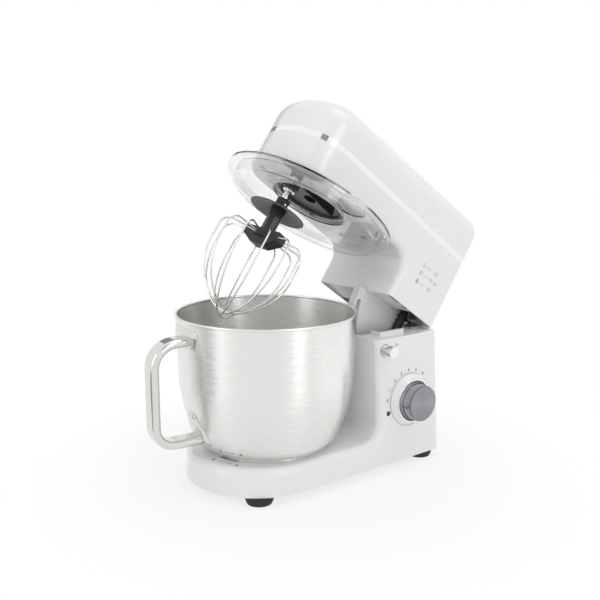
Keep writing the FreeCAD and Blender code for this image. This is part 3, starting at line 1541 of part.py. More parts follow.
wing_top_z = hub_z + s.wing_height
collar_middle_z = wing_top_z - s.wire_drop
whisk_tip_z = bowl_floor_z + s.bowl_wall + s.whisk_floor_gap
wire_root = s.wire_collar_radius - s.wire_radius * 2
half = s.whisk_half_width
shoulder = s.whisk_shoulder_bend
waist_z = collar_middle_z - s.whisk_waist_drop
tip_curve = s.whisk_tip_curve
wire_section = round_section((no_inset, collar_middle_z), s.wire_radius)
loop_count = int(s.wire_loops)
wire_loops = []
for index in range(loop_count):
    bottom_z = whisk_tip_z + s.wire_step * index
    tip_middle_z = bottom_z + tip_curve
    waist_rise = waist_z - tip_middle_z
    side_curve = (half * half + waist_rise * waist_rise - tip_curve * tip_curve) / ((half - tip_curve) * 2)
    tip_share = tip_curve / (side_curve - tip_curve)
    meet_x = (side_curve - half) * tip_share
    meet_z = tip_middle_z - waist_rise * tip_share
    loop = swept(f"wire_loop_{index}", wire_section, wire_root, [
        (-wire_root, collar_middle_z),
        (shoulder - half, collar_middle_z),
        (-half, collar_middle_z - shoulder, shoulder),
        (-half, waist_z),
        (-meet_x, meet_z, side_curve),
        (meet_x, meet_z, tip_curve),
        (half, waist_z, side_curve),
        (half, collar_middle_z - shoulder),
        (half - shoulder, collar_middle_z, shoulder),
        (wire_root, collar_middle_z),
    ])
    place(loop, (0, tool_y, 0), spin=s.wing_turn + 180 / s.wire_loops * (index + 0.5))
    wire_loops.append(loop)
wire_cage = group("wire_cage", *wire_loops)
half_span = s.wing_span / 2
half_toe = s.wing_toe / 2
wings = place(padded("wings", "XZ_Plane", [
    (-half_toe, hub_z),
    (half_toe, hub_z),
    (half_span, wing_top_z - s.wing_depth),
    (half_span, wing_top_z),
    (-half_span, wing_top_z),
    (-half_span, wing_top_z - s.wing_depth),
], -s.wing_thickness / 2, s.wing_thickness), (0, tool_y, 0), spin=s.wing_turn)
hub_solid = joined(
    "hub_solid",
    rod("hub_bar", s.whisk_hub_radius, s.whisk_hub_length, (0, tool_y, hub_z)),
    rod("wire_collar", s.wire_collar_radius, s.wire_collar_height,
        (0, tool_y, collar_middle_z - s.wire_collar_height / 2)),
    wings,
)
pin_half = s.cross_pin_radius + s.moving_gap
slot_low_z = cross_pin_z - pin_half - s.whisk_push
entry_angle = angle_of(pin_half, s.tool_shaft_radius) * 2
hub_body = without(
    "hub_bored", hub_solid,
    rod("hub_bore", s.tool_shaft_radius + s.running_gap, s.whisk_bore, (0, tool_y, bore_z)),
    block("pin_slot", (-s.wire_collar_radius, tool_y - pin_half, slot_low_z),
          (s.wire_collar_radius, tool_y + pin_half, cross_pin_z + pin_half)),
)
for side in (0, 180):
    hub_body = without(
        f"hub_keyed_{side}", hub_body,
        rod(f"pin_run_{side}", s.wire_collar_radius, pin_half * 2, (0, tool_y, slot_low_z),
            angle=s.key_turn + entry_angle / 2, spin=side),
        rod(f"pin_entry_{side}", s.wire_collar_radius, hub_top_z - slot_low_z, (0, tool_y, slot_low_z),
            angle=entry_angle, spin=side + s.key_turn - entry_angle / 2),
    )
node("whisk_hub", without("whisk_hub", hub_body, wire_cage), lifted=True)
node("whisk_wires", group("whisk_wires", wire_cage), lifted=True)
node("shield_disc", tube("shield_disc", s.whisk_hub_radius + s.press_gap, s.shield_radius,
                         s.shield_thickness, (0, tool_y, hub_top_z - s.shield_drop)), lifted=True)
node("whisk_spring", coil("whisk_spring", s.tool_shaft_radius - s.coil_wire - s.moving_gap,
                          s.whisk_spring_length - s.coil_wire * 2 - s.seat_gap * 2,
                          (0, tool_y, bore_z + s.coil_wire + s.seat_gap)), lifted=True)

# Splash guard: a clear lid that hangs under the head, with a collar, a lip, a rim and a feed opening

guard_low_z = guard_z - s.guard_wall / 2
guard_top_z = guard_z + s.guard_wall / 2
collar_outer = s.guard_collar_radius + s.guard_wall
lip_inner = s.guard_lip_radius - s.guard_wall
rim_inner = s.guard_radius - s.guard_wall
guard_blank = turned("guard_blank", [
    (s.guard_collar_radius, guard_low_z),
    (lip_inner, guard_low_z),
    (lip_inner, guard_z - s.guard_lip_height),
    (s.guard_lip_radius, guard_z - s.guard_lip_height),
    (s.guard_lip_radius, guard_low_z),
    (rim_inner, guard_low_z),
    (rim_inner, guard_low_z - s.guard_rim_height),
    (s.guard_radius, guard_low_z - s.guard_rim_height),
    (s.guard_radius, guard_top_z),
    (collar_outer, guard_top_z),
    (collar_outer, floor_z - s.guard_gap),
    (s.guard_collar_radius, floor_z - s.guard_gap),
], (0, s.bowl_y, 0))
feed_opening = rod("feed_opening", s.feed_radius, s.guard_wall * 2,
                   (s.feed_x, s.bowl_y, guard_z - s.guard_wall))
node("splash_guard", without("splash_guard", guard_blank, feed_opening), lifted=True)

# Bowl: a spun steel shell with a rolled rim, a foot ring with bayonet lugs, and a bent tube handle

side_z = bowl_floor_z + s.bowl_shoulder_rise
side_x = s.bowl_shoulder_radius - s.bowl_side_curve
foot_z = bowl_floor_z + s.bowl_foot_curve
curve_step = s.bowl_side_curve - s.bowl_foot_curve
foot_x = side_x + root(curve_step * curve_step - (side_z - foot_z) * (side_z - foot_z))


def bowl_side(inset):
    """Half section of the bowl's outside, or of its inside when inset, from the axis to the rim."""
    share = (s.bowl_side_curve - inset) / curve_step
    meet_x = side_x + (foot_x - side_x) * share
    meet_z = side_z + (foot_z - side_z) * share
    return [
        (no_inset, bowl_floor_z + inset),
        (foot_x, bowl_floor_z + inset),
        (meet_x, meet_z, s.bowl_foot_curve - inset),
        (s.bowl_shoulder_radius - inset, side_z, s.bowl_side_curve - inset),
        (s.bowl_radius - inset, rim_z),
        (no_inset, rim_z),
    ]


bowl_blank = turned("bowl_blank", bowl_side(no_inset), (0, s.bowl_y, 0))
bowl_hollow = turned("bowl_hollow", bowl_side(s.bowl_wall), (0, s.bowl_y, 0))
bowl_shell = without("bowl_shell", bowl_blank, bowl_hollow)
rim_bead = doc.addObject("Part::Torus", "rim_bead")
bind(rim_bead, "Radius1", s.bowl_radius - s.bowl_wall / 2)
bind(rim_bead, "Radius2", s.bowl_rim_bead)
place(rim_bead, (0, s.bowl_y, rim_z))
node("bowl", joined("bowl", bowl_shell, rim_bead))

ring_low_z = seat_floor_z + s.seat_gap
ring_outer = s.seat_radius - s.moving_gap
ring_bore = ring_outer - s.foot_ring_wall
lugs = [
    rod(f"bowl_lug_{index}", s.seat_radius + s.lug_reach, s.lug_height, (0, s.bowl_y, ring_low_z),
        angle=s.lug_angle, spin=s.slot_turn + lug_step * index - s.bowl_turn - s.lug_angle / 2)
    for index in range(lug_count)
]
ring_height = foot_z - ring_low_z
foot_ring = rod("foot_ring", ring_outer, ring_height, (0, s.bowl_y, ring_low_z))
foot_bore = rod("foot_bore", ring_bore, ring_height, (0, s.bowl_y, ring_low_z))
foot_solid = joined("foot_solid", foot_ring, *lugs)
node("bowl_foot", without("bowl_foot", foot_solid, bowl_blank, foot_bore))

handle_top_z = rim_z - s.handle_drop
handle_low_z = handle_top_z - s.handle_span
handle_root = s.bowl_radius - s.handle_thickness


def handle_bar(name, inset):
    """The handle's outside, or its hollow when inset, from the wall near the rim down to the foot."""
    section = rounded_box((no_inset, handle_top_z), s.handle_width - inset * 2,
                          s.handle_thickness - inset * 2, s.handle_corner - inset)
    bar = swept(name, section, handle_root, [
        (-handle_root, handle_top_z),
        (s.handle_top_bend - s.handle_reach, handle_top_z),
        (-s.handle_reach, handle_top_z - s.handle_top_bend, s.handle_top_bend),
        (-s.handle_reach, handle_low_z + s.handle_bottom_bend),
        (s.handle_bottom_bend - s.handle_reach, handle_low_z, s.handle_bottom_bend),
        (-foot_x, handle_low_z),
    ])
    return place(bar, (0, s.bowl_y, 0), spin=-s.handle_turn)


node("bowl_handle", without("bowl_handle", handle_bar("handle_outer", no_inset),
                            handle_bar("handle_inner", s.handle_wall), bowl_blank))

doc.recompute()
for thing in doc.Objects:
    if "Invalid" in thing.State or "Error" in thing.State:
        raise RuntimeError(f"{thing.Label} failed: {thing.State}")
os.makedirs("parts", exist_ok=True)
for thing in nodes:
    if thing.Shape.isNull() or not thing.Shape.isValid():
        raise RuntimeError(f"{thing.Label} has no valid shape")
for thing in nodes:
    thing.Shape.exportStep(f"parts/{thing.Label}.step")
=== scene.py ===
import math
import bpy
import bmesh
from mathutils import Matrix, Vector


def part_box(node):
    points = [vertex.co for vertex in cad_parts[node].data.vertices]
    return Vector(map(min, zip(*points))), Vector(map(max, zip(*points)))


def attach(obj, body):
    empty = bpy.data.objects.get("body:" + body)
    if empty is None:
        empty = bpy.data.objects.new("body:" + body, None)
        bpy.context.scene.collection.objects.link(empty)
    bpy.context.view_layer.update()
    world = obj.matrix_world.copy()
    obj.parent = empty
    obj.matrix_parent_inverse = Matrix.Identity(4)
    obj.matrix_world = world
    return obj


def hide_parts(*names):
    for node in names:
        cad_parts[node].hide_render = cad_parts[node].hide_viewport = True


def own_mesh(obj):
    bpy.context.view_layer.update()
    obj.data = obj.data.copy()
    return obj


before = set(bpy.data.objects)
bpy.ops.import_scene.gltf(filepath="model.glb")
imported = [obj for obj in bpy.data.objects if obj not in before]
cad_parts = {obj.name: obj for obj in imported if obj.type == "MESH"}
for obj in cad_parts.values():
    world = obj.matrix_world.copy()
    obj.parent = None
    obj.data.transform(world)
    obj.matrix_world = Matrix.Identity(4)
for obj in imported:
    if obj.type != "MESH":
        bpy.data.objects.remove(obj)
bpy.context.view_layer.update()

# Base and column housing
# One hollow injection moulding in white ABS, drafted to leave the mould and polished to a high gloss.
# The bottom cover, the bowl seat and the hinge are screwed and clipped to it. The head has two shells like it.


def linear(hex_colour):
    """An sRGB hex colour as a linear RGBA value."""
    channels = [int(hex_colour[i:i + 2], 16) / 255 for i in (1, 3, 5)]
    return (*[c / 12.92 if c <= 0.04045 else ((c + 0.055) / 1.055) ** 2.4 for c in channels], 1.0)


def add(tree, kind, inputs=None, **settings):
    """A shader node with its settings, and with its inputs set or linked."""
    made = tree.nodes.new("ShaderNode" + kind)
    for key, value in settings.items():
        setattr(made, key, value)
    for key, value in (inputs or {}).items():
        if isinstance(value, bpy.types.NodeSocket):
            tree.links.new(value, made.inputs[key])
        else:
            made.inputs[key].default_value = value
    return made


def finish(name, **inputs):
    """A material named for the real one, with its node tree and its surface shader."""
    material = bpy.data.materials.new(name)
    material.use_nodes = True
    tree = material.node_tree
    tree.nodes.clear()
    shader = add(tree, "BsdfPrincipled", {key.replace("_", " "): value for key, value in inputs.items()})
    add(tree, "OutputMaterial", {"Surface": shader.outputs["BSDF"]})
    return material, tree, shader


def per_metre(millimetres):
    """The scale of a texture whose features are that far apart."""
    return 1000 / millimetres


def skin(name, spacing, height, gloss_spread=0.0, **inputs):
    """A finish with a shallow bump of a real spacing and height in mm and, if asked, uneven gloss."""
    material, tree, shader = finish(name, **inputs)
    place = add(tree, "TexCoord")
    noise = add(tree, "TexNoise", {"Vector": place.outputs["Object"], "Scale": per_metre(spacing), "Detail": 3.0})
    bump = add(tree, "Bump", {"Height": noise.outputs["Fac"], "Distance": height / 1000, "Strength": 1.0})
    tree.links.new(bump.outputs["Normal"], shader.inputs["Normal"])
    if gloss_spread:
        gloss = add(tree, "MapRange", {"Value": noise.outputs["Fac"], "To Min": inputs["Roughness"] - gloss_spread,
                                       "To Max": inputs["Roughness"] + gloss_spread})
        tree.links.new(gloss.outputs["Result"], shader.inputs["Roughness"])
    return material


def dress(material, *nodes):
    """Give CAD pieces their finish."""
    for node in nodes:
        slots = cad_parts[node].data.materials
        slots.clear()
        slots.append(material)


# Gloss ABS: mould-polished, so it has a sharp reflection with a very faint orange peel about 4 mm across
gloss_white = skin("gloss white ABS", spacing=4.0, height=0.012, gloss_spread=0.03,
                   Base_Color=linear("#F1F1F0"), Roughness=0.16, IOR=1.53)
dress(gloss_white, "base_housing", "head_lower_housing", "head_top_cover")

# Marks on the column and the base
# Dark grey ink, pad-printed on the gloss: figures and a pulse mark round the dial, an arrow by the
# button, and an open and a closed lock by the bowl seat that show which way the bowl turns. A thin ring of the
# same ink at the edge of the dial collar is painted shade, for the gap between the collar and the column.


def arc(x, y, radius, start=0, end=360):
    """Points in mm along an arc, with its angles in degrees."""
    steps = max(6, int(abs(end - start) / 10))
    turns = [math.radians(start + (end - start) * i / steps) for i in range(steps + 1)]
    return [(x + radius * math.cos(t), y + radius * math.sin(t)) for t in turns]


def stroke(flat, points, width):
    """A printed line of even width in mm."""
    path = [Vector(p) for p in points]
    pairs = []
    for i, here in enumerate(path):
        along = path[min(i + 1, len(path) - 1)] - path[max(i - 1, 0)]
        across = Vector((-along.y, along.x)).normalized() * width / 2
        pairs.append([flat.verts.new((*(here + across), 0)), flat.verts.new((*(here - across), 0))])
    for (a, b), (c, d) in zip(pairs, pairs[1:]):
        flat.faces.new((a, b, d, c))


def patch(flat, points):
    """A printed area in mm, its corners given anticlockwise."""
    flat.faces.new([flat.verts.new((x, y, 0)) for x, y in points])


def figure(flat, text, height):
    """A figure in mm, centred and slightly bold."""
    height_per_size, boldness = 0.7, 0.035
    letters = bpy.data.curves.new("figure", "FONT")
    letters.body = text
    letters.size = height / height_per_size
    letters.offset = height * boldness
    letters.align_x = "CENTER"
    letters.align_y = "CENTER"
    holder = bpy.data.objects.new("figure", letters)
    outline = bpy.data.meshes.new_from_object(holder)
    flat.from_mesh(outline)
    bpy.data.objects.remove(holder)
    bpy.data.curves.remove(letters)
    bpy.data.meshes.remove(outline)


def lock(flat, x, y, size, is_open):
    """A padlock sign: a filled body under a bow, which is swung up where the lock is open."""
    half, body_top, bow = size / 2, y + size * 0.15, size * 0.3
    raised = size * 0.22 if is_open else 0
    patch(flat, [(x - half, y - half), (x + half, y - half), (x + half, body_top), (x - half, body_top)])
    stroke(flat, [(x + bow, body_top), *arc(x, y + bow + raised, bow, 0, 180)], width=size * 0.14)


def join(group, shape):
    """Add one shape to a group and let it go."""
    passed = bpy.data.meshes.new("passed")
    shape.to_mesh(passed)
    shape.free()
    group.from_mesh(passed)
    bpy.data.meshes.remove(passed)


def stand(shape, at, out, up, where):
    """Move a shape in mm to a point, with its Z along out and its Y towards up."""
    out = Vector(out).normalized()
    side = Vector(up).cross(out).normalized()
    turn = Matrix((side, out.cross(side), out)).transposed().to_4x4()
    shape.transform(where @ Matrix.Translation(Vector(at) / 1000) @ turn @ Matrix.Scale(0.001, 4))


def lay(group, flat, node, at, out, up, where=Matrix()):
    """Lay a flat print on a CAD piece: at a point in mm, facing out, with its top towards up."""
    start_height, film = 0.008, 0.00008
    stand(flat, at, out, up, where)
    facing = where.to_3x3() @ Vector(out).normalized()
    for vert in flat.verts:
        found, spot, *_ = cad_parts[node].ray_cast(vert.co + facing * start_height, -facing)
        vert.co = (spot if found else vert.co) + facing * film
    join(group, flat)


def settle(name, shape, material, body):
    """Make a piece of a shape: smooth but for its sharp edges, finished, and carried by a body."""
    sharp = math.radians(35)
    mesh = bpy.data.meshes.new(name)
    shape.to_mesh(mesh)
    shape.free()
    mesh.shade_smooth()
    mesh.set_sharp_from_angle(angle=sharp)
    mesh.materials.append(material)
    piece = bpy.data.objects.new(name, mesh)
    bpy.context.scene.collection.objects.link(piece)
    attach(piece, body)
    return piece


# Pad ink: a thin film that takes the shine off the gloss under it, with a grain about 0.3 mm wide
ink = skin("dark grey pad ink", spacing=0.3, height=0.003, gloss_spread=0.05,
           Base_Color=linear("#3D3E40"), Roughness=0.5, IOR=1.5)
# Prints are laid on the CAD pieces by rays, so the scene has to be up to date first
bpy.context.view_layer.update()
upward = (0, 0, 1)
dial_y, dial_z = 104.7, 93.6
figures_y, figures_z = dial_y + 1.0, dial_z - 1.9
wall_x = 92
draft = math.radians(2.9)
wall_out = (math.cos(draft), 0, math.sin(draft))


def by_dial(degrees, radius):
    """A point on the column side, at an angle from the top of the ring of figures towards the front."""
    turn = math.radians(degrees)
    return wall_x, figures_y - radius * math.sin(turn), figures_z + radius * math.cos(turn)


marks = bmesh.new()
first_figure, figure_step = 80, 19.5
for speed in range(7):
    flat = bmesh.new()
    figure(flat, str(speed), height=4.0)
    lay(marks, flat, "base_housing", by_dial(first_figure - figure_step * speed, radius=42.5), wall_out, upward)
# A thin dark ring just outside the dial collar: painted shade of the gap round the collar
flat = bmesh.new()
stroke(flat, arc(0, 0, radius=36.5), width=0.3)
lay(marks, flat, "base_housing", (wall_x, dial_y, dial_z), wall_out, upward)
settle("dial_figures_and_gap_shade", marks, ink, "base")

marks = bmesh.new()
flat = bmesh.new()
patch(flat, arc(0, 0, radius=3.5)[:-1])
lay(marks, flat, "base_housing", by_dial(105, radius=42), wall_out, upward)
settle("pulse_mark", marks, ink, "base")

marks = bmesh.new()
flat = bmesh.new()
stroke(flat, arc(0, -1.0, 2.0, 15, 150), width=0.6)
patch(flat, [(1.0, -0.2), (1.9, -1.9), (2.8, -0.2)])
patch(flat, [(-2.4, -2.4), (2.4, -2.4), (2.4, -1.9), (-2.4, -1.9)])
lay(marks, flat, "base_housing", (89.2, 81.0, 173.2), wall_out, upward)
settle("button_mark", marks, ink, "base")

marks = bmesh.new()
flat = bmesh.new()
lock(flat, -18.2, 0.2, size=3.8, is_open=True)
stroke(flat, [(-9.4, 0), (8.2, 0)], width=0.6)
patch(flat, [(8, -1), (10.6, 0), (8, 1)])
lock(flat, 18.2, -0.2, size=3.8, is_open=False)
lay(marks, flat, "base_housing", (31.2, -154.1, 46), upward, (-0.356, 0.934, 0))
settle("bowl_lock_marks", marks, ink, "base")

# Tool chart on the head
# A pad print on the side of the head: a hook, a beater and a whisk, each by a line and a mixing bowl or two.
# What belongs to the head is drawn level, and lifted about the hinge to where the head stands at rest.
hinge = Vector((0, 0.154, 0.1894))
head_raise = math.radians(-35)
lift = Matrix.Translation(hinge) @ Matrix.Rotation(head_raise, 4, "X") @ Matrix.Translation(-hinge)
# The same ink in pale grey, so that the chart stays quiet on the white
pale_ink = skin("pale grey pad ink", spacing=0.3, height=0.003, gloss_spread=0.05,
                Base_Color=linear("#727376"), Roughness=0.5, IOR=1.5)
marks = bmesh.new()
for tool, row_height in (("hook", 253.0), ("beater", 241.0), ("whisk", 228.5)):
    flat = bmesh.new()
    if tool == "hook":
        stroke(flat, [(0, 4), (0, 1.6), *arc(0, -0.6, 2.0, 80, -170)], width=0.6)
    elif tool == "beater":
        stroke(flat, [(0, 4), (0, 2.4)], width=0.6)
        stroke(flat, arc(0, -0.4, 2.7, 90, -270), width=0.5)
        stroke(flat, [(0, 2), (0, -3)], width=0.5)
    else:
        stroke(flat, [(0, 4), (0, 2.2)], width=0.8)
        for spread in (0.7, 1.7, 2.7):
            turns = [math.radians(t) for t in range(60, -241, -20)]
            loop = [(spread * math.cos(t), -1.2 + 2.2 * math.sin(t)) for t in turns]
            stroke(flat, [(0, 2.2), *loop, (0, 2.2)], width=0.35)
    stroke(flat, [(6, 0), (16, 0)], width=0.45)
    for centre in ((23, 33) if tool == "beater" else (27,)):
        stroke(flat, [(centre - 3.6, 1.8), (centre + 3.6, 1.8)], width=0.5)
        stroke(flat, arc(centre, 1.6, 3.1, 180, 360), width=0.5)
    lay(marks, flat, "head_lower_housing", (77.1, 98, row_height), (1, -0.0217, 0), upward, lift)
settle("tool_chart", marks, pale_ink, "head")

# White pieces in the neck and under the base
# Plain ABS mouldings: the sector guide is screwed under the yoke, the plunger guide in the column,
# the seat cup under the top of the base, and the bottom cover closes the base.

# Satin ABS: the mould is left as it was eroded, so light spreads softly over a fine grain
satin_white = skin("satin white ABS", spacing=0.7, height=0.01, gloss_spread=0.05,
                   Base_Color=linear("#E6E6E4"), Roughness=0.42, IOR=1.53)
dress(satin_white, "sector_guide", "plunger_guide", "bowl_seat", "bottom_cover")

# Suction feet
# Four bells of soft rubber, moulded in one piece each and plugged into the bottom cover.
# The sole is hollow, so that it grips the counter.

# Rubber: nearly black and dull, with no clear highlight
rubber = skin("black rubber", spacing=1.2, height=0.02, gloss_spread=0.06,
              Base_Color=linear("#171717"), Roughness=0.62, IOR=1.52)
dress(rubber, "suction_feet")

# Cord gland, wire sleeve and belt
# Flexible pieces, moulded or extruded: the gland snaps into the back of the base, the sleeve carries
# the wires of the head through the neck, and the belt runs round the two pulleys.

# PVC: black with a low, even sheen
black_sleeve = skin("black PVC", spacing=1.5, height=0.015, gloss_spread=0.06,
                    Base_Color=linear("#1A1A1B"), Roughness=0.5, IOR=1.53)
dress(black_sleeve, "wire_sleeve", "cord_gland", "drive_belt")

# Trim band and button
# ABS mouldings, plated with nickel and then chrome. The band is glued in a groove between the two halves
# of the head, and the button's cap is pressed into its sleeve in the column.

# Chrome: a bright mirror with a faint wave from the moulding under it
chrome = skin("chrome plating", spacing=9.0, height=0.006, gloss_spread=0.015,
              Base_Color=linear("#F0F1F3"), Metallic=1.0, Roughness=0.05)
dress(chrome, "trim_band", "button_sleeve", "button_cap")

# Dial collar, ring, grip and pointer
# The white collar is snapped into the column side and carries a thin chromed ring. The knob in it is plated,
# with a fine knurl, a thin black ring under its cap that is painted shade of the gap there, and a dot filled with
# ink that points at the figures.


def turned_shape(section, steps, start=0, sweep=360):
    """A turned ring in mm about Z, from a closed section of (radius, height) points."""
    shape = bmesh.new()
    first = math.radians(start)
    outline = [shape.verts.new((r * math.cos(first), r * math.sin(first), h)) for r, h in section]
    edges = [shape.edges.new((a, b)) for a, b in zip(outline, outline[1:] + outline[:1])]
    spun = bmesh.ops.spin(shape, geom=outline + edges, cent=(0, 0, 0), axis=(0, 0, 1),
                          angle=math.radians(sweep), steps=steps, use_merge=sweep == 360)
    if sweep < 360:
        shape.faces.new(outline)
        shape.faces.new([v for v in spun["geom_last"] if isinstance(v, bmesh.types.BMVert)])
    bmesh.ops.remove_doubles(shape, verts=shape.verts, dist=0.001)
    bmesh.ops.recalc_face_normals(shape, faces=shape.faces)
    return shape


def fit(name, shape, at, out, up, material, body, where=Matrix()):
    """Set a shape in mm at a point, with its Z along out and its Y towards up, as a piece."""
    stand(shape, at, out, up, where)
    return settle(name, shape, material, body)


# Satin nickel: darker and softer than the chrome round it
nickel = skin("satin nickel plating", spacing=1.0, height=0.004, gloss_spread=0.04,
              Base_Color=linear("#A6A7AA"), Metallic=1.0, Roughness=0.2)
dress(gloss_white, "dial_bezel")
dress(nickel, "dial_knob")
sideways = (1, 0, 0)
dial_x = 93.2
dial_seat = (dial_x, dial_y, dial_z)
ring = turned_shape([(28.15, 8.7), (30.3, 8.7), (30.4, 9.8), (30.2, 10.2), (30.0, 10.3), (28.3, 10.3),
                     (28.15, 10.1)], steps=120)
fit("dial_ring", ring, dial_seat, sideways, upward, chrome, "base")

knurl = bmesh.new()
rib_count, rib_width = 96, 1.9
for rib in range(rib_count):
    join(knurl, turned_shape([(26.9, 9.9), (27.55, 9.9), (27.35, 12.3), (26.9, 12.3)], steps=2,
                             start=rib * 360 / rib_count, sweep=rib_width))
fit("dial_knurl", knurl, dial_seat, sideways, upward, nickel, "dial")

# A thin black ring under the cap, in black PVC: painted shade of the gap between the cap and the knob
cap_gap_shade = turned_shape([(23.9, 24.85), (24.44, 24.85), (24.44, 25.15), (24.2, 25.35), (23.9, 25.35)], steps=96)
fit("dial_cap_gap_shade", cap_gap_shade, dial_seat, sideways, upward, black_sleeve, "dial")

pointer = turned_shape([(0, -0.4), (1.35, -0.4), (1.35, 0.08), (1.0, 0.2), (0, 0.22)], steps=24)
aim = math.radians(97)
toward = (0, -math.sin(aim), math.cos(aim))
grip_radius, pointer_height = 24.66, 19.5
pointer_at = (dial_x + pointer_height, dial_y + grip_radius * toward[1], dial_z + grip_radius * toward[2])
fit("dial_pointer", pointer, pointer_at, toward, sideways, ink, "dial")

# Dial cap
# A disc of aluminium, faced on a lathe and pressed into the end of the knob.
# The tool leaves fine rings round its centre.

# Turned aluminium: the rings spread light across themselves, into a highlight like a bow tie.
# Its base colour is darker grey than bare aluminium: a painted darker reflection of its surroundings.
turned, tree, shader = finish("turned aluminium", Base_Color=linear("#8A8B8E"), Metallic=1.0, Roughness=0.32,
                              Anisotropic=0.8, Anisotropic_Rotation=0.25)
spin = add(tree, "Tangent", direction_type="RADIAL", axis="X")
place = add(tree, "TexCoord")
cap_middle = sum(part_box("dial_cap"), Vector()) / 2
centred = add(tree, "VectorMath", {0: place.outputs["Object"], 1: tuple(cap_middle)}, operation="SUBTRACT")
# Turning marks are about 0.1 mm apart. They are drawn about 1 mm apart, to show in the picture.
ring_gap = 0.98693
wave_length = math.tau / 20  # of a wave texture whose scale is 1
rings = add(tree, "TexWave", {"Vector": centred.outputs["Vector"], "Scale": per_metre(ring_gap) * wave_length,
                              "Distortion": 0.4, "Detail": 2.0}, wave_type="RINGS", rings_direction="X")
bump = add(tree, "Bump", {"Height": rings.outputs["Fac"], "Distance": 0.00001, "Strength": 0.5})
tree.links.new(spin.outputs["Tangent"], shader.inputs["Tangent"])
tree.links.new(bump.outputs["Normal"], shader.inputs["Normal"])
dress(turned, "dial_cap")

# Bowl
# A bowl drawn and spun from stainless sheet, with its rim rolled over, and brushed round its axis.
# Its foot ring is welded on, and the lugs of the ring turn in the seat of the base.

# Brushed steel: level scratches spread light up and down, into upright bands with a fine level grain
brushed, tree, shader = finish("brushed stainless steel", Base_Color=linear("#E9E8E6"), Metallic=1.0,
                               Roughness=0.33, Anisotropic=0.85, Anisotropic_Rotation=0.25)
spin = add(tree, "Tangent", direction_type="RADIAL", axis="Z")
place = add(tree, "TexCoord")
bowl_middle = sum(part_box("bowl"), Vector()) / 2
centred = add(tree, "VectorMath", {0: place.outputs["Object"], 1: tuple(bowl_middle)}, operation="SUBTRACT")
parts = add(tree, "SeparateXYZ", {"Vector": centred.outputs["Vector"]})
angle = add(tree, "Math", {0: parts.outputs["Y"], 1: parts.outputs["X"]}, operation="ARCTAN2")
# Scratches are drawn 0.8 mm apart up the wall and 25 mm long round it, coarser than the real grit, to show.
wall_radius = 0.115
scratch_gap, scratch_length = 0.8, 25
round_wall = add(tree, "Math", {0: angle.outputs["Value"], 1: wall_radius * scratch_gap / scratch_length},
                 operation="MULTIPLY")
along = add(tree, "CombineXYZ", {"X": round_wall.outputs["Value"], "Z": parts.outputs["Z"]})
scratch = add(tree, "TexNoise", {"Vector": along.outputs["Vector"], "Scale": per_metre(scratch_gap),
                                 "Detail": 4.0})
bump = add(tree, "Bump", {"Height": scratch.outputs["Fac"], "Distance": 0.000008, "Strength": 0.5})
gloss = add(tree, "MapRange", {"Value": scratch.outputs["Fac"], "From Min": 0.3, "From Max": 0.7,
                               "To Min": 0.24, "To Max": 0.42})
sheen = add(tree, "ValToRGB", {"Fac": scratch.outputs["Fac"]})
for stop, position, colour in zip(sheen.color_ramp.elements, (0.3, 0.7), ("#E1E0DE", "#F0EFED")):
    stop.position = position
    stop.color = linear(colour)
tree.links.new(spin.outputs["Tangent"], shader.inputs["Tangent"])
tree.links.new(bump.outputs["Normal"], shader.inputs["Normal"])
tree.links.new(gloss.outputs["Result"], shader.inputs["Roughness"])
tree.links.new(sheen.outputs["Color"], shader.inputs["Base Color"])
dress(brushed, "bowl", "bowl_foot")

# Handle, whisk wires and tool shaft
# Stainless steel, buffed: the handle is a flattened tube, bent and welded to the bowl, the wires are drawn
# and pushed into the whisk hub, and the shaft and its cross pin are ground.

# Polished steel: nearly a mirror, slightly warm, with the last trace of the buffing wheel
polished = skin("polished stainless steel", spacing=2.0, height=0.004, gloss_spread=0.03,
                Base_Color=linear("#DAD9D6"), Metallic=1.0, Roughness=0.12)
dress(polished, "bowl_handle", "whisk_wires", "tool_shaft", "cross_pin")

# Handle ends
# The ends of the handle tube, of the same polished steel.
# They are flared, pressed to the curve of the bowl and spot-welded to it.
bowl_y = -68


def bowl_plate(name, outline, centre_angle, thickness):
    """A plate pressed on the bowl wall, from rows of (height in mm, half width in degrees)."""
    shape = bmesh.new()
    columns = 12
    sunk = -0.5
    thinned_edge = 0.35
    outside = 0.2
    skins = []
    for offset in (sunk, thickness):
        rows = []
        for row, (height, half) in enumerate(outline):
            line = []
            for i in range(columns + 1):
                turn = math.radians(centre_angle + half * (2 * i / columns - 1))
                toward = Vector((math.sin(turn), -math.cos(turn), 0))
                start = Vector((0, bowl_y / 1000, height / 1000)) + toward * outside
                _, spot, normal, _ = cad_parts["bowl"].ray_cast(start, -toward)
                edge = row in (0, len(outline) - 1) or i in (0, columns)
                proud = offset if offset < 0 or not edge else offset * thinned_edge
                line.append(shape.verts.new(spot + normal * proud / 1000))
            rows.append(line)
        skins.append(rows)
    for rows in skins:
        for low, high in zip(rows, rows[1:]):
            for i in range(columns):
                shape.faces.new((low[i], low[i + 1], high[i + 1], high[i]))
    inner, outer = [rows[0] + [line[-1] for line in rows[1:-1]] + rows[-1][::-1]
                    + [line[0] for line in rows[-2:0:-1]] for rows in skins]
    for i in range(len(inner)):
        j = (i + 1) % len(inner)
        shape.faces.new((inner[i], inner[j], outer[j], outer[i]))
    bmesh.ops.recalc_face_normals(shape, faces=shape.faces)
    settle(name, shape, polished, "bowl")


bowl_plate("handle_top_plate", [(189, 11), (191, 13), (197, 14.5), (205, 15), (211, 14.5), (215, 12.5)],
           centre_angle=-4.5, thickness=2.8)
bowl_plate("handle_foot_plate", [(64, 12), (67, 13.5), (74, 13.5), (84, 11), (94, 7.5), (102, 4.5), (106, 2.5)],
           centre_angle=-4.5, thickness=2.8)

# Bowl marks
# An open lock, a bar and a closed lock, etched in the steel of the bowl over the ones on the base.
# They show which way the bowl turns to lock.

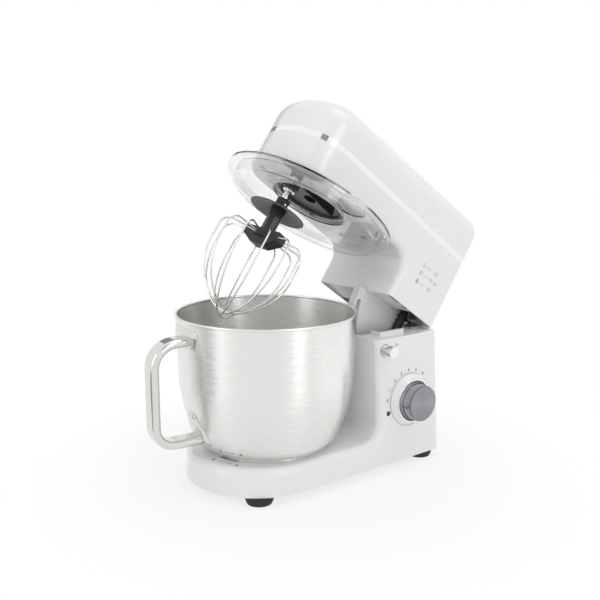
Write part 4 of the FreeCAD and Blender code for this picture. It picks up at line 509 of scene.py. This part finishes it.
# Etched steel: acid leaves it a dull grey against the bright wall
etch = skin("etched stainless steel", spacing=0.2, height=0.004, gloss_spread=0.06,
            Base_Color=linear("#8F9093"), Metallic=0.6, Roughness=0.5)
marks = bmesh.new()
for spot, out, is_open in (((28.2, -157.9, 61.0), (0.263, -0.832, -0.489), True),
                           ((54.0, -145.2, 60.9), (0.5, -0.718, -0.485), False)):
    flat = bmesh.new()
    lock(flat, 0, 0, size=3.8, is_open=is_open)
    lay(marks, flat, "bowl", spot, out, upward)
flat = bmesh.new()
stroke(flat, [(-7.4 + 1.2 * i, 0) for i in range(13)], width=0.9)
lay(marks, flat, "bowl", (40.6, -153.2, 61.2), (0.384, -0.789, -0.48), upward)
settle("bowl_marks", marks, etch, "bowl")

# Splash guard
# One clear moulding, polished on both sides, with a thick rim that bends the light, a lip round its feed
# opening and a lug to turn it by. It twists onto the catches under the head.

# Clear SAN: like glass, but with a slow wave from the mould in what it reflects
clear = skin("clear SAN", spacing=12.0, height=0.01,
             Base_Color=linear("#F3F3F3"), Roughness=0.03, IOR=1.5, Transmission_Weight=1.0)
dress(clear, "splash_guard")


def block(shape, centre, size, rounding):
    """A rounded block in mm, added to a shape."""
    made = bmesh.ops.create_cube(shape, size=1.0, matrix=Matrix.Translation(centre) @ Matrix.Diagonal((*size, 1)))
    edges = list({edge for vert in made["verts"] for edge in vert.link_edges})
    bmesh.ops.bevel(shape, geom=edges, offset=rounding, segments=2, affect="EDGES", profile=0.5)


backward = (0, 1, 0)
lip = turned_shape([(23.1, 1.9), (24.6, 1.9), (24.5, 3.6), (24.1, 4.0), (23.5, 4.0), (23.1, 3.6)], steps=96)
fit("feed_lip", lip, (79, bowl_y, 240), upward, backward, clear, "guard", lift)
lug = bmesh.new()
block(lug, centre=(0, 0, 0), size=(22, 5, 7), rounding=1.4)
turn = math.radians(39.2)
lug_radius = 112.5
lug_at = (lug_radius * math.cos(turn), bowl_y + lug_radius * math.sin(turn), 239)
fit("guard_lug", lug, lug_at, upward, (math.cos(turn), math.sin(turn), 0), clear, "guard", lift)

# Whisk hub and shield
# Glass-filled nylon, moulded: the hub is black, with a collar and grip panels, and holds the wires.
# The grey shield is a shallow cone, pressed on the hub over its collar, and throws splashes back down.

# Black nylon: dry and dark, with the fine, even grain of a spark-eroded mould
black_nylon = skin("black nylon", spacing=0.5, height=0.012, gloss_spread=0.06,
                   Base_Color=linear("#1E1E1F"), Roughness=0.45, IOR=1.53)
# Grey nylon: the same dry grain in mid grey
grey_nylon = skin("grey nylon", spacing=0.6, height=0.012, gloss_spread=0.05,
                  Base_Color=linear("#57585A"), Roughness=0.5, IOR=1.53)
dress(black_nylon, "whisk_hub")
dress(grey_nylon, "shield_disc")
tool_y = -105
tool_at = (0, tool_y, 0)
shield = turned_shape([(9.05, 210.2), (36.8, 203.0), (37.8, 203.1), (38.0, 203.4), (38.0, 204.3), (36.6, 204.9),
                       (9.05, 212.2)], steps=120)
cone = fit("shield_cone", shield, tool_at, upward, backward, grey_nylon, "whisk", lift)
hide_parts("shield_disc")
collar = turned_shape([(8.6, 202.0), (9.7, 202.0), (10.0, 202.3), (10.0, 210.6), (8.6, 210.6)], steps=64)
fit("hub_collar", collar, tool_at, upward, backward, black_nylon, "whisk", lift)
grips = bmesh.new()
grip_section = [(8.6, 176.5), (9.3, 176.5), (9.45, 177.2), (9.45, 195.4), (9.3, 196.1), (8.6, 196.1)]
for panel in range(4):
    join(grips, turned_shape(grip_section, steps=8, start=panel * 90 - 30, sweep=47))
fit("hub_grips", grips, tool_at, upward, backward, grey_nylon, "whisk", lift)

# Head underside and planet dish
# Mouldings round the drive: a ring of white ABS, screwed to the head and painted pale grey as the shade under the
# head, and the dark dish that goes round in it.
# Two matt black pieces on the dish are painted shade, a wedge for a deep recess and a disc for a hole in it, and a
# clip holds the tool shaft in it.

# White ABS, painted pale grey as the shade under the head: a satin, quieter than the gloss of the head
shaded_white_abs = skin("white ABS painted pale grey as shade", spacing=0.8, height=0.012, gloss_spread=0.05,
                 Base_Color=linear("#CFD0D0"), Roughness=0.4, IOR=1.53)
# Acetal: dark grey and slightly waxy, with broad soft highlights
dark_dish = skin("dark grey acetal", spacing=0.8, height=0.012, gloss_spread=0.05,
                 Base_Color=linear("#47484A"), Roughness=0.42, IOR=1.48)
# Matt black, almost without sheen: painted shade of the recess and the hole in the dish, so that they stay dark at
# a low angle
recess_shade_black = skin("black painted recess shade", spacing=0.8, height=0.02, gloss_spread=0.05,
                 Base_Color=linear("#131314"), Roughness=0.9, Specular_IOR_Level=0.1)
dress(shaded_white_abs, "underside_cover")
dress(dark_dish, "planet_carrier")
# A wedge painted as the shade of a deep recess in the dish
recess_shade = bmesh.new()
recess_shade_thickness, recess_shade_corner = 1.2, 2.0
patch(recess_shade, [(12, -104), (16.2, -101), (23, -82.5), (29, -73.1), (32.6, -50.9), (3.2, -27.1), (4, -48.3),
               (10, -69.8), (10.4, -90.6)])
raised = bmesh.ops.extrude_face_region(recess_shade, geom=recess_shade.faces[:])
bmesh.ops.translate(recess_shade, vec=(0, 0, recess_shade_thickness),
                    verts=[v for v in raised["geom"] if isinstance(v, bmesh.types.BMVert)])
upright = [e for e in recess_shade.edges if abs(e.verts[0].co.z - e.verts[1].co.z) > recess_shade_thickness / 2]
bmesh.ops.bevel(recess_shade, geom=upright, offset=recess_shade_corner, segments=3, affect="EDGES", profile=0.5)
bmesh.ops.recalc_face_normals(recess_shade, faces=recess_shade.faces)
fit("carrier_recess_shade", recess_shade, (0, 0, 247.9), upward, backward, recess_shade_black, "carrier", lift)
downward = (0, 0, -1)
# A disc painted as the shade of a hole in the dish
hole_shade = turned_shape([(0, 0.5), (5.8, 0.5), (6.2, 1.2), (7.9, 1.2), (8.5, 0.6), (8.5, 0)], steps=48)
fit("carrier_hole_shade", hole_shade, (-4, -67, 249.05), downward, backward, recess_shade_black, "carrier", lift)
clip = turned_shape([(5.1, 0), (8.2, 0), (8.5, 0.3), (8.5, 1.3), (8.2, 1.6), (5.1, 1.6)], steps=48)
fit("shaft_clip", clip, (0, tool_y, 236.6), upward, backward, polished, "tool", lift)

# Neck slots
# Two slots moulded in the flange of the sector guide, where the wires of the head pass.
# The shade inside them is painted as thin dark faces on the flange, in the dark grey acetal finish.
marks = bmesh.new()
slot_half = 1.7
for centre, half in (((64.3, 95.6, 231.8), 13.5), ((65.1, 119.6, 215.1), 4.0)):
    flat = bmesh.new()
    patch(flat, [*arc(0, half, slot_half, 0, 180), *arc(0, -half, slot_half, 180, 360)])
    lay(marks, flat, "sector_guide", centre, (0, -0.574, -0.819), (0, -0.819, 0.574))
settle("neck_slot_shade", marks, dark_dish, "head")

# Catches, screw well shade and marks under the head
# White catches moulded on the floor of the head hold the splash guard, and dark grey rings in the screw wells are
# painted shade.
# Printed locks show which way the guard turns.
forward = (0, -1, 0)
floor_z = 248
catches = bmesh.new()
for turn in (-66, 54, 174):
    catch = bmesh.new()
    block(catch, centre=(59.5, 0, 245.8), size=(6, 11, 5.0), rounding=0.8)
    block(catch, centre=(57.4, 0, 244.3), size=(3.6, 11, 2.0), rounding=0.5)
    catch.transform(Matrix.Rotation(math.radians(turn), 4, "Z"))
    join(catches, catch)
fit("guard_catches", catches, (0, bowl_y, 0), upward, backward, gloss_white, "head", lift)
# The painted shade of the screw wells is drawn facing down, so Y runs the other way in its drawing
well_shades = bmesh.new()
for x, y in ((-23, -142.4), (-23, 22.6), (23, 22.6)):
    well_shade = turned_shape([(0, 0.7), (2.2, 0.7), (2.2, 0.2), (3.0, 0.2), (3.3, 0.7), (4.2, 0.6), (4.6, -0.3),
                         (0, -0.3)], steps=32)
    well_shade.transform(Matrix.Translation((x, -y, 0)))
    join(well_shades, well_shade)
fit("screw_well_shade", well_shades, (0, 0, floor_z), downward, forward, dark_dish, "head", lift)
marks = bmesh.new()
flat = bmesh.new()
lock(flat, -14, 0, size=4, is_open=True)
stroke(flat, [(-8, 0), (8, 0)], width=0.7)
lock(flat, 14, 0, size=4, is_open=False)
lay(marks, flat, "head_lower_housing", (3, -130.5, floor_z), downward, forward, lift)
settle("guard_lock_marks", marks, ink, "head")

# Shafts, screws, springs and laminations
# Steel bar, wire and sheet, drawn, turned or stamped, and left bare under a little oil.
# The shafts run in the bearings, and the screws hold the covers.

# Drawn steel: bright, with the fine unevenness that the die leaves
steel = skin("bright drawn steel", spacing=0.6, height=0.006, gloss_spread=0.08,
             Base_Color=linear("#A9AAAC"), Metallic=1.0, Roughness=0.3)
dress(steel, "bottom_screws", "head_screws", "hinge_pin", "hinge_brackets", "lock_plunger", "button_spring",
      "whisk_spring", "dial_shaft", "output_shaft", "input_shaft", "motor_shaft", "ball_bearings", "motor_stator",
      "armature")

# Springs of the button and the whisk
# Wound from spring steel wire: one end stays on its shoulder while the moving piece squeezes the other.
# Each is a piece of its own here, carried by the body it sits on.
tool_up = lift.to_3x3() @ Vector(upward)
for node, body, joint, inward, travel in (("button_spring", "base", "release_button", Vector((-1, 0, 0)), 0.006),
                                          ("whisk_spring", "tool", "whisk_push", tool_up, 0.004)):
    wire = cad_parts[node].data.copy()
    coil = bpy.data.objects.new(node + "_coil", wire)
    bpy.context.scene.collection.objects.link(coil)
    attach(coil, body)
    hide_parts(node)
    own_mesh(coil)

# Cast frames and pulleys
# Aluminium, die-cast and trimmed: the frames carry the hinge, the bearings and the motor,
# and the pulleys are pressed on their shafts.

# Die-cast aluminium: a soft grey with a faintly pebbled skin
cast = skin("die-cast aluminium", spacing=1.4, height=0.03, gloss_spread=0.08,
            Base_Color=linear("#A6A8AA"), Metallic=1.0, Roughness=0.5)
dress(cast, "yoke", "drive_frame", "drive_top_frame", "motor_frame", "motor_pulley", "large_pulley")

# Gears and fan
# Nylon in its own colour, moulded, with the teeth cut where they have to run true.
# The ring gear is fixed in the head, and the rest sit on their shafts.

# Natural nylon: milky and slightly yellow, with a soft sheen
natural = skin("natural nylon", spacing=1.0, height=0.01, gloss_spread=0.05,
               Base_Color=linear("#E4DFCB"), Roughness=0.45, IOR=1.53)
dress(natural, "ring_gear", "main_gear", "planet_pinion", "input_pinion", "cooling_fan")

# Bushes, commutator and windings
# Bronze pressed from powder for the hinge, and copper bars and enamelled wire in the motor.
# They share one warm finish, because none of them shows from outside.

# Sintered bronze: warm, a little dull and finely speckled
bronze = skin("sintered bronze", spacing=0.5, height=0.015, gloss_spread=0.08,
              Base_Color=linear("#B58A52"), Metallic=1.0, Roughness=0.4)
dress(bronze, "hinge_bushes", "commutator", "motor_windings")

# Switches, board and brushes
# Housings and a board of phenolic resin, fixed inside the column, and carbon brushes in the motor.
# They share one dark finish, because none of them shows from outside.

# Phenolic: nearly black, with a dull and even sheen
phenolic = skin("dark phenolic", spacing=0.8, height=0.015, gloss_spread=0.06,
                Base_Color=linear("#2B2D2D"), Roughness=0.5, IOR=1.55)
dress(phenolic, "rotary_switch", "safety_switch", "control_board", "carbon_brushes")

# Studio floor and background
# White paper under the mixer, which keeps its shadow and fades into a white background.
# To a ray from the camera, through the guard or off metal the background is plain white; the rest is soft light.


def backdrop_rays(tree):
    """1 for a ray that sees the background: from the camera, through the clear guard or by reflection."""
    path = add(tree, "LightPath")
    seen = add(tree, "Math", {0: path.outputs["Is Camera Ray"], 1: path.outputs["Is Transmission Ray"]},
               operation="MAXIMUM")
    shown = add(tree, "Math", {0: seen.outputs["Value"], 1: path.outputs["Is Glossy Ray"]}, operation="MAXIMUM")
    return shown.outputs["Value"]


floor_reach = 4.0
floor_mesh = bpy.data.meshes.new("floor")
floor_corners = [(x * floor_reach, y * floor_reach, 0) for x, y in ((-1, -1), (1, -1), (1, 1), (-1, 1))]
floor_mesh.from_pydata(floor_corners, [], [(0, 1, 2, 3)])
floor = bpy.data.objects.new("floor", floor_mesh)
bpy.context.scene.collection.objects.link(floor)
# Paper: flat white, shaded close to the mixer and lost in the background 0.4 m from its middle
paper = bpy.data.materials.new("white paper sweep")
paper.use_nodes = True
tree = paper.node_tree
tree.nodes.clear()
diffuse = add(tree, "BsdfDiffuse", {"Color": linear("#F4F4F4")})
white = add(tree, "Emission", {"Color": (1, 1, 1, 1), "Strength": 1.0})
spot = add(tree, "NewGeometry")
away = add(tree, "VectorMath", {0: spot.outputs["Position"]}, operation="LENGTH")
fade = add(tree, "MapRange", {"Value": away.outputs["Value"], "From Min": 0.14, "From Max": 0.4,
                              "To Min": 0.76, "To Max": 1.0}, interpolation_type="SMOOTHSTEP")
amount = add(tree, "Math", {0: fade.outputs["Result"], 1: backdrop_rays(tree)}, operation="MULTIPLY")
chosen = add(tree, "MixShader", {0: amount.outputs["Value"], 1: diffuse.outputs["BSDF"],
                                 2: white.outputs["Emission"]})
add(tree, "OutputMaterial", {"Surface": chosen.outputs["Shader"]})
floor_mesh.materials.append(paper)

world = bpy.data.worlds.new("studio")
world.use_nodes = True
bpy.context.scene.world = world
tree = world.node_tree
tree.nodes.clear()
soft = add(tree, "Background", {"Color": linear("#F6F7F9"), "Strength": 0.76})
white = add(tree, "Background", {"Color": (1, 1, 1, 1), "Strength": 1.0})
chosen = add(tree, "MixShader", {0: backdrop_rays(tree), 1: soft.outputs["Background"],
                                 2: white.outputs["Background"]})
add(tree, "OutputWorld", {"Surface": chosen.outputs["Shader"]})

# Studio lamps and cards
# Three soft lamps, all aimed at the middle of the mixer.
# Grey cards and a bright strip, seen in reflections only, give the metal its streaks, as in a product studio.


def softbox(name, at, size, power):
    """A soft lamp, wide and high in metres, aimed at the mixer."""
    aim = Vector((0, 0, 0.2))
    lamp = bpy.data.lights.new(name, "AREA")
    lamp.shape = "RECTANGLE"
    lamp.size, lamp.size_y = size
    lamp.energy = power
    made = bpy.data.objects.new(name, lamp)
    made.location = at
    made.rotation_euler = (aim - Vector(at)).to_track_quat("-Z", "Y").to_euler()
    bpy.context.scene.collection.objects.link(made)


def card(name, corners, paint):
    """A card through four points in metres, which shows only in reflections."""
    sheet = bpy.data.meshes.new(name)
    sheet.from_pydata(corners, [], [(0, 1, 2, 3)])
    sheet.materials.append(paint)
    made = bpy.data.objects.new(name, sheet)
    bpy.context.scene.collection.objects.link(made)
    made.visible_camera = False
    made.visible_diffuse = False
    made.visible_transmission = False
    made.visible_shadow = False


softbox("key_softbox", at=(0.5, 0.5, 2.1), size=(1.2, 1.2), power=5.5)
softbox("side_strip", at=(2.0, 0.1, 0.8), size=(0.45, 1.4), power=5)
softbox("front_softbox", at=(-0.1, -2.0, 0.9), size=(0.7, 1.3), power=5)

# Grey card: matt, so that it gives one even tone. White strip: it glows, brighter than the paper, and is seen only
# in reflections.
grey_card, *_ = finish("grey card", Base_Color=linear("#A3A4A6"), Roughness=0.8)
glowing_strip_paint, *_ = finish("glowing white strip", Base_Color=linear("#000000"), Roughness=0.8,
                         Emission_Color=(1, 1, 1, 1), Emission_Strength=1.8)
card("left_card", [(-2.25, 0.05, 0.95), (-2.25, 0.95, 0.95), (-1.95, 0.95, 1.7), (-1.95, 0.05, 1.7)], grey_card)
card("upper_card", [(1.0, -1.1, 1.5), (1.75, -0.7, 1.5), (1.6, -0.4, 2.1), (0.9, -0.8, 2.1)], grey_card)
card("front_card", [(-0.45, -1.0, 0.003), (-0.05, -1.0, 0.003), (-0.05, -0.42, 0.003), (-0.45, -0.42, 0.003)],
     grey_card)
card("dial_strip", [(0.45, 0.13, 0.003), (0.52, 0.20, 0.003), (0.10, 0.595, 0.003), (0.03, 0.525, 0.003)],
     glowing_strip_paint)

# Camera
# It stands at the photograph's viewpoint, which was solved from the edges of the mixer.
# Its angles are from straight in front towards the right, and up.
azimuth = math.radians(52.53)
elevation = math.radians(10.47)
view = Vector((-math.sin(azimuth) * math.cos(elevation), math.cos(azimuth) * math.cos(elevation),
               -math.sin(elevation)))
camera_data = bpy.data.cameras.new("camera")
camera_data.sensor_width = 36
camera_data.lens = 46.22
camera = bpy.data.objects.new("camera", camera_data)
camera.location = (0.8075, -0.6316, 0.4193)
camera.rotation_euler = view.to_track_quat("-Z", "Y").to_euler()
bpy.context.scene.collection.objects.link(camera)
bpy.context.scene.camera = camera
bpy.context.scene.view_settings.view_transform = "Standard"
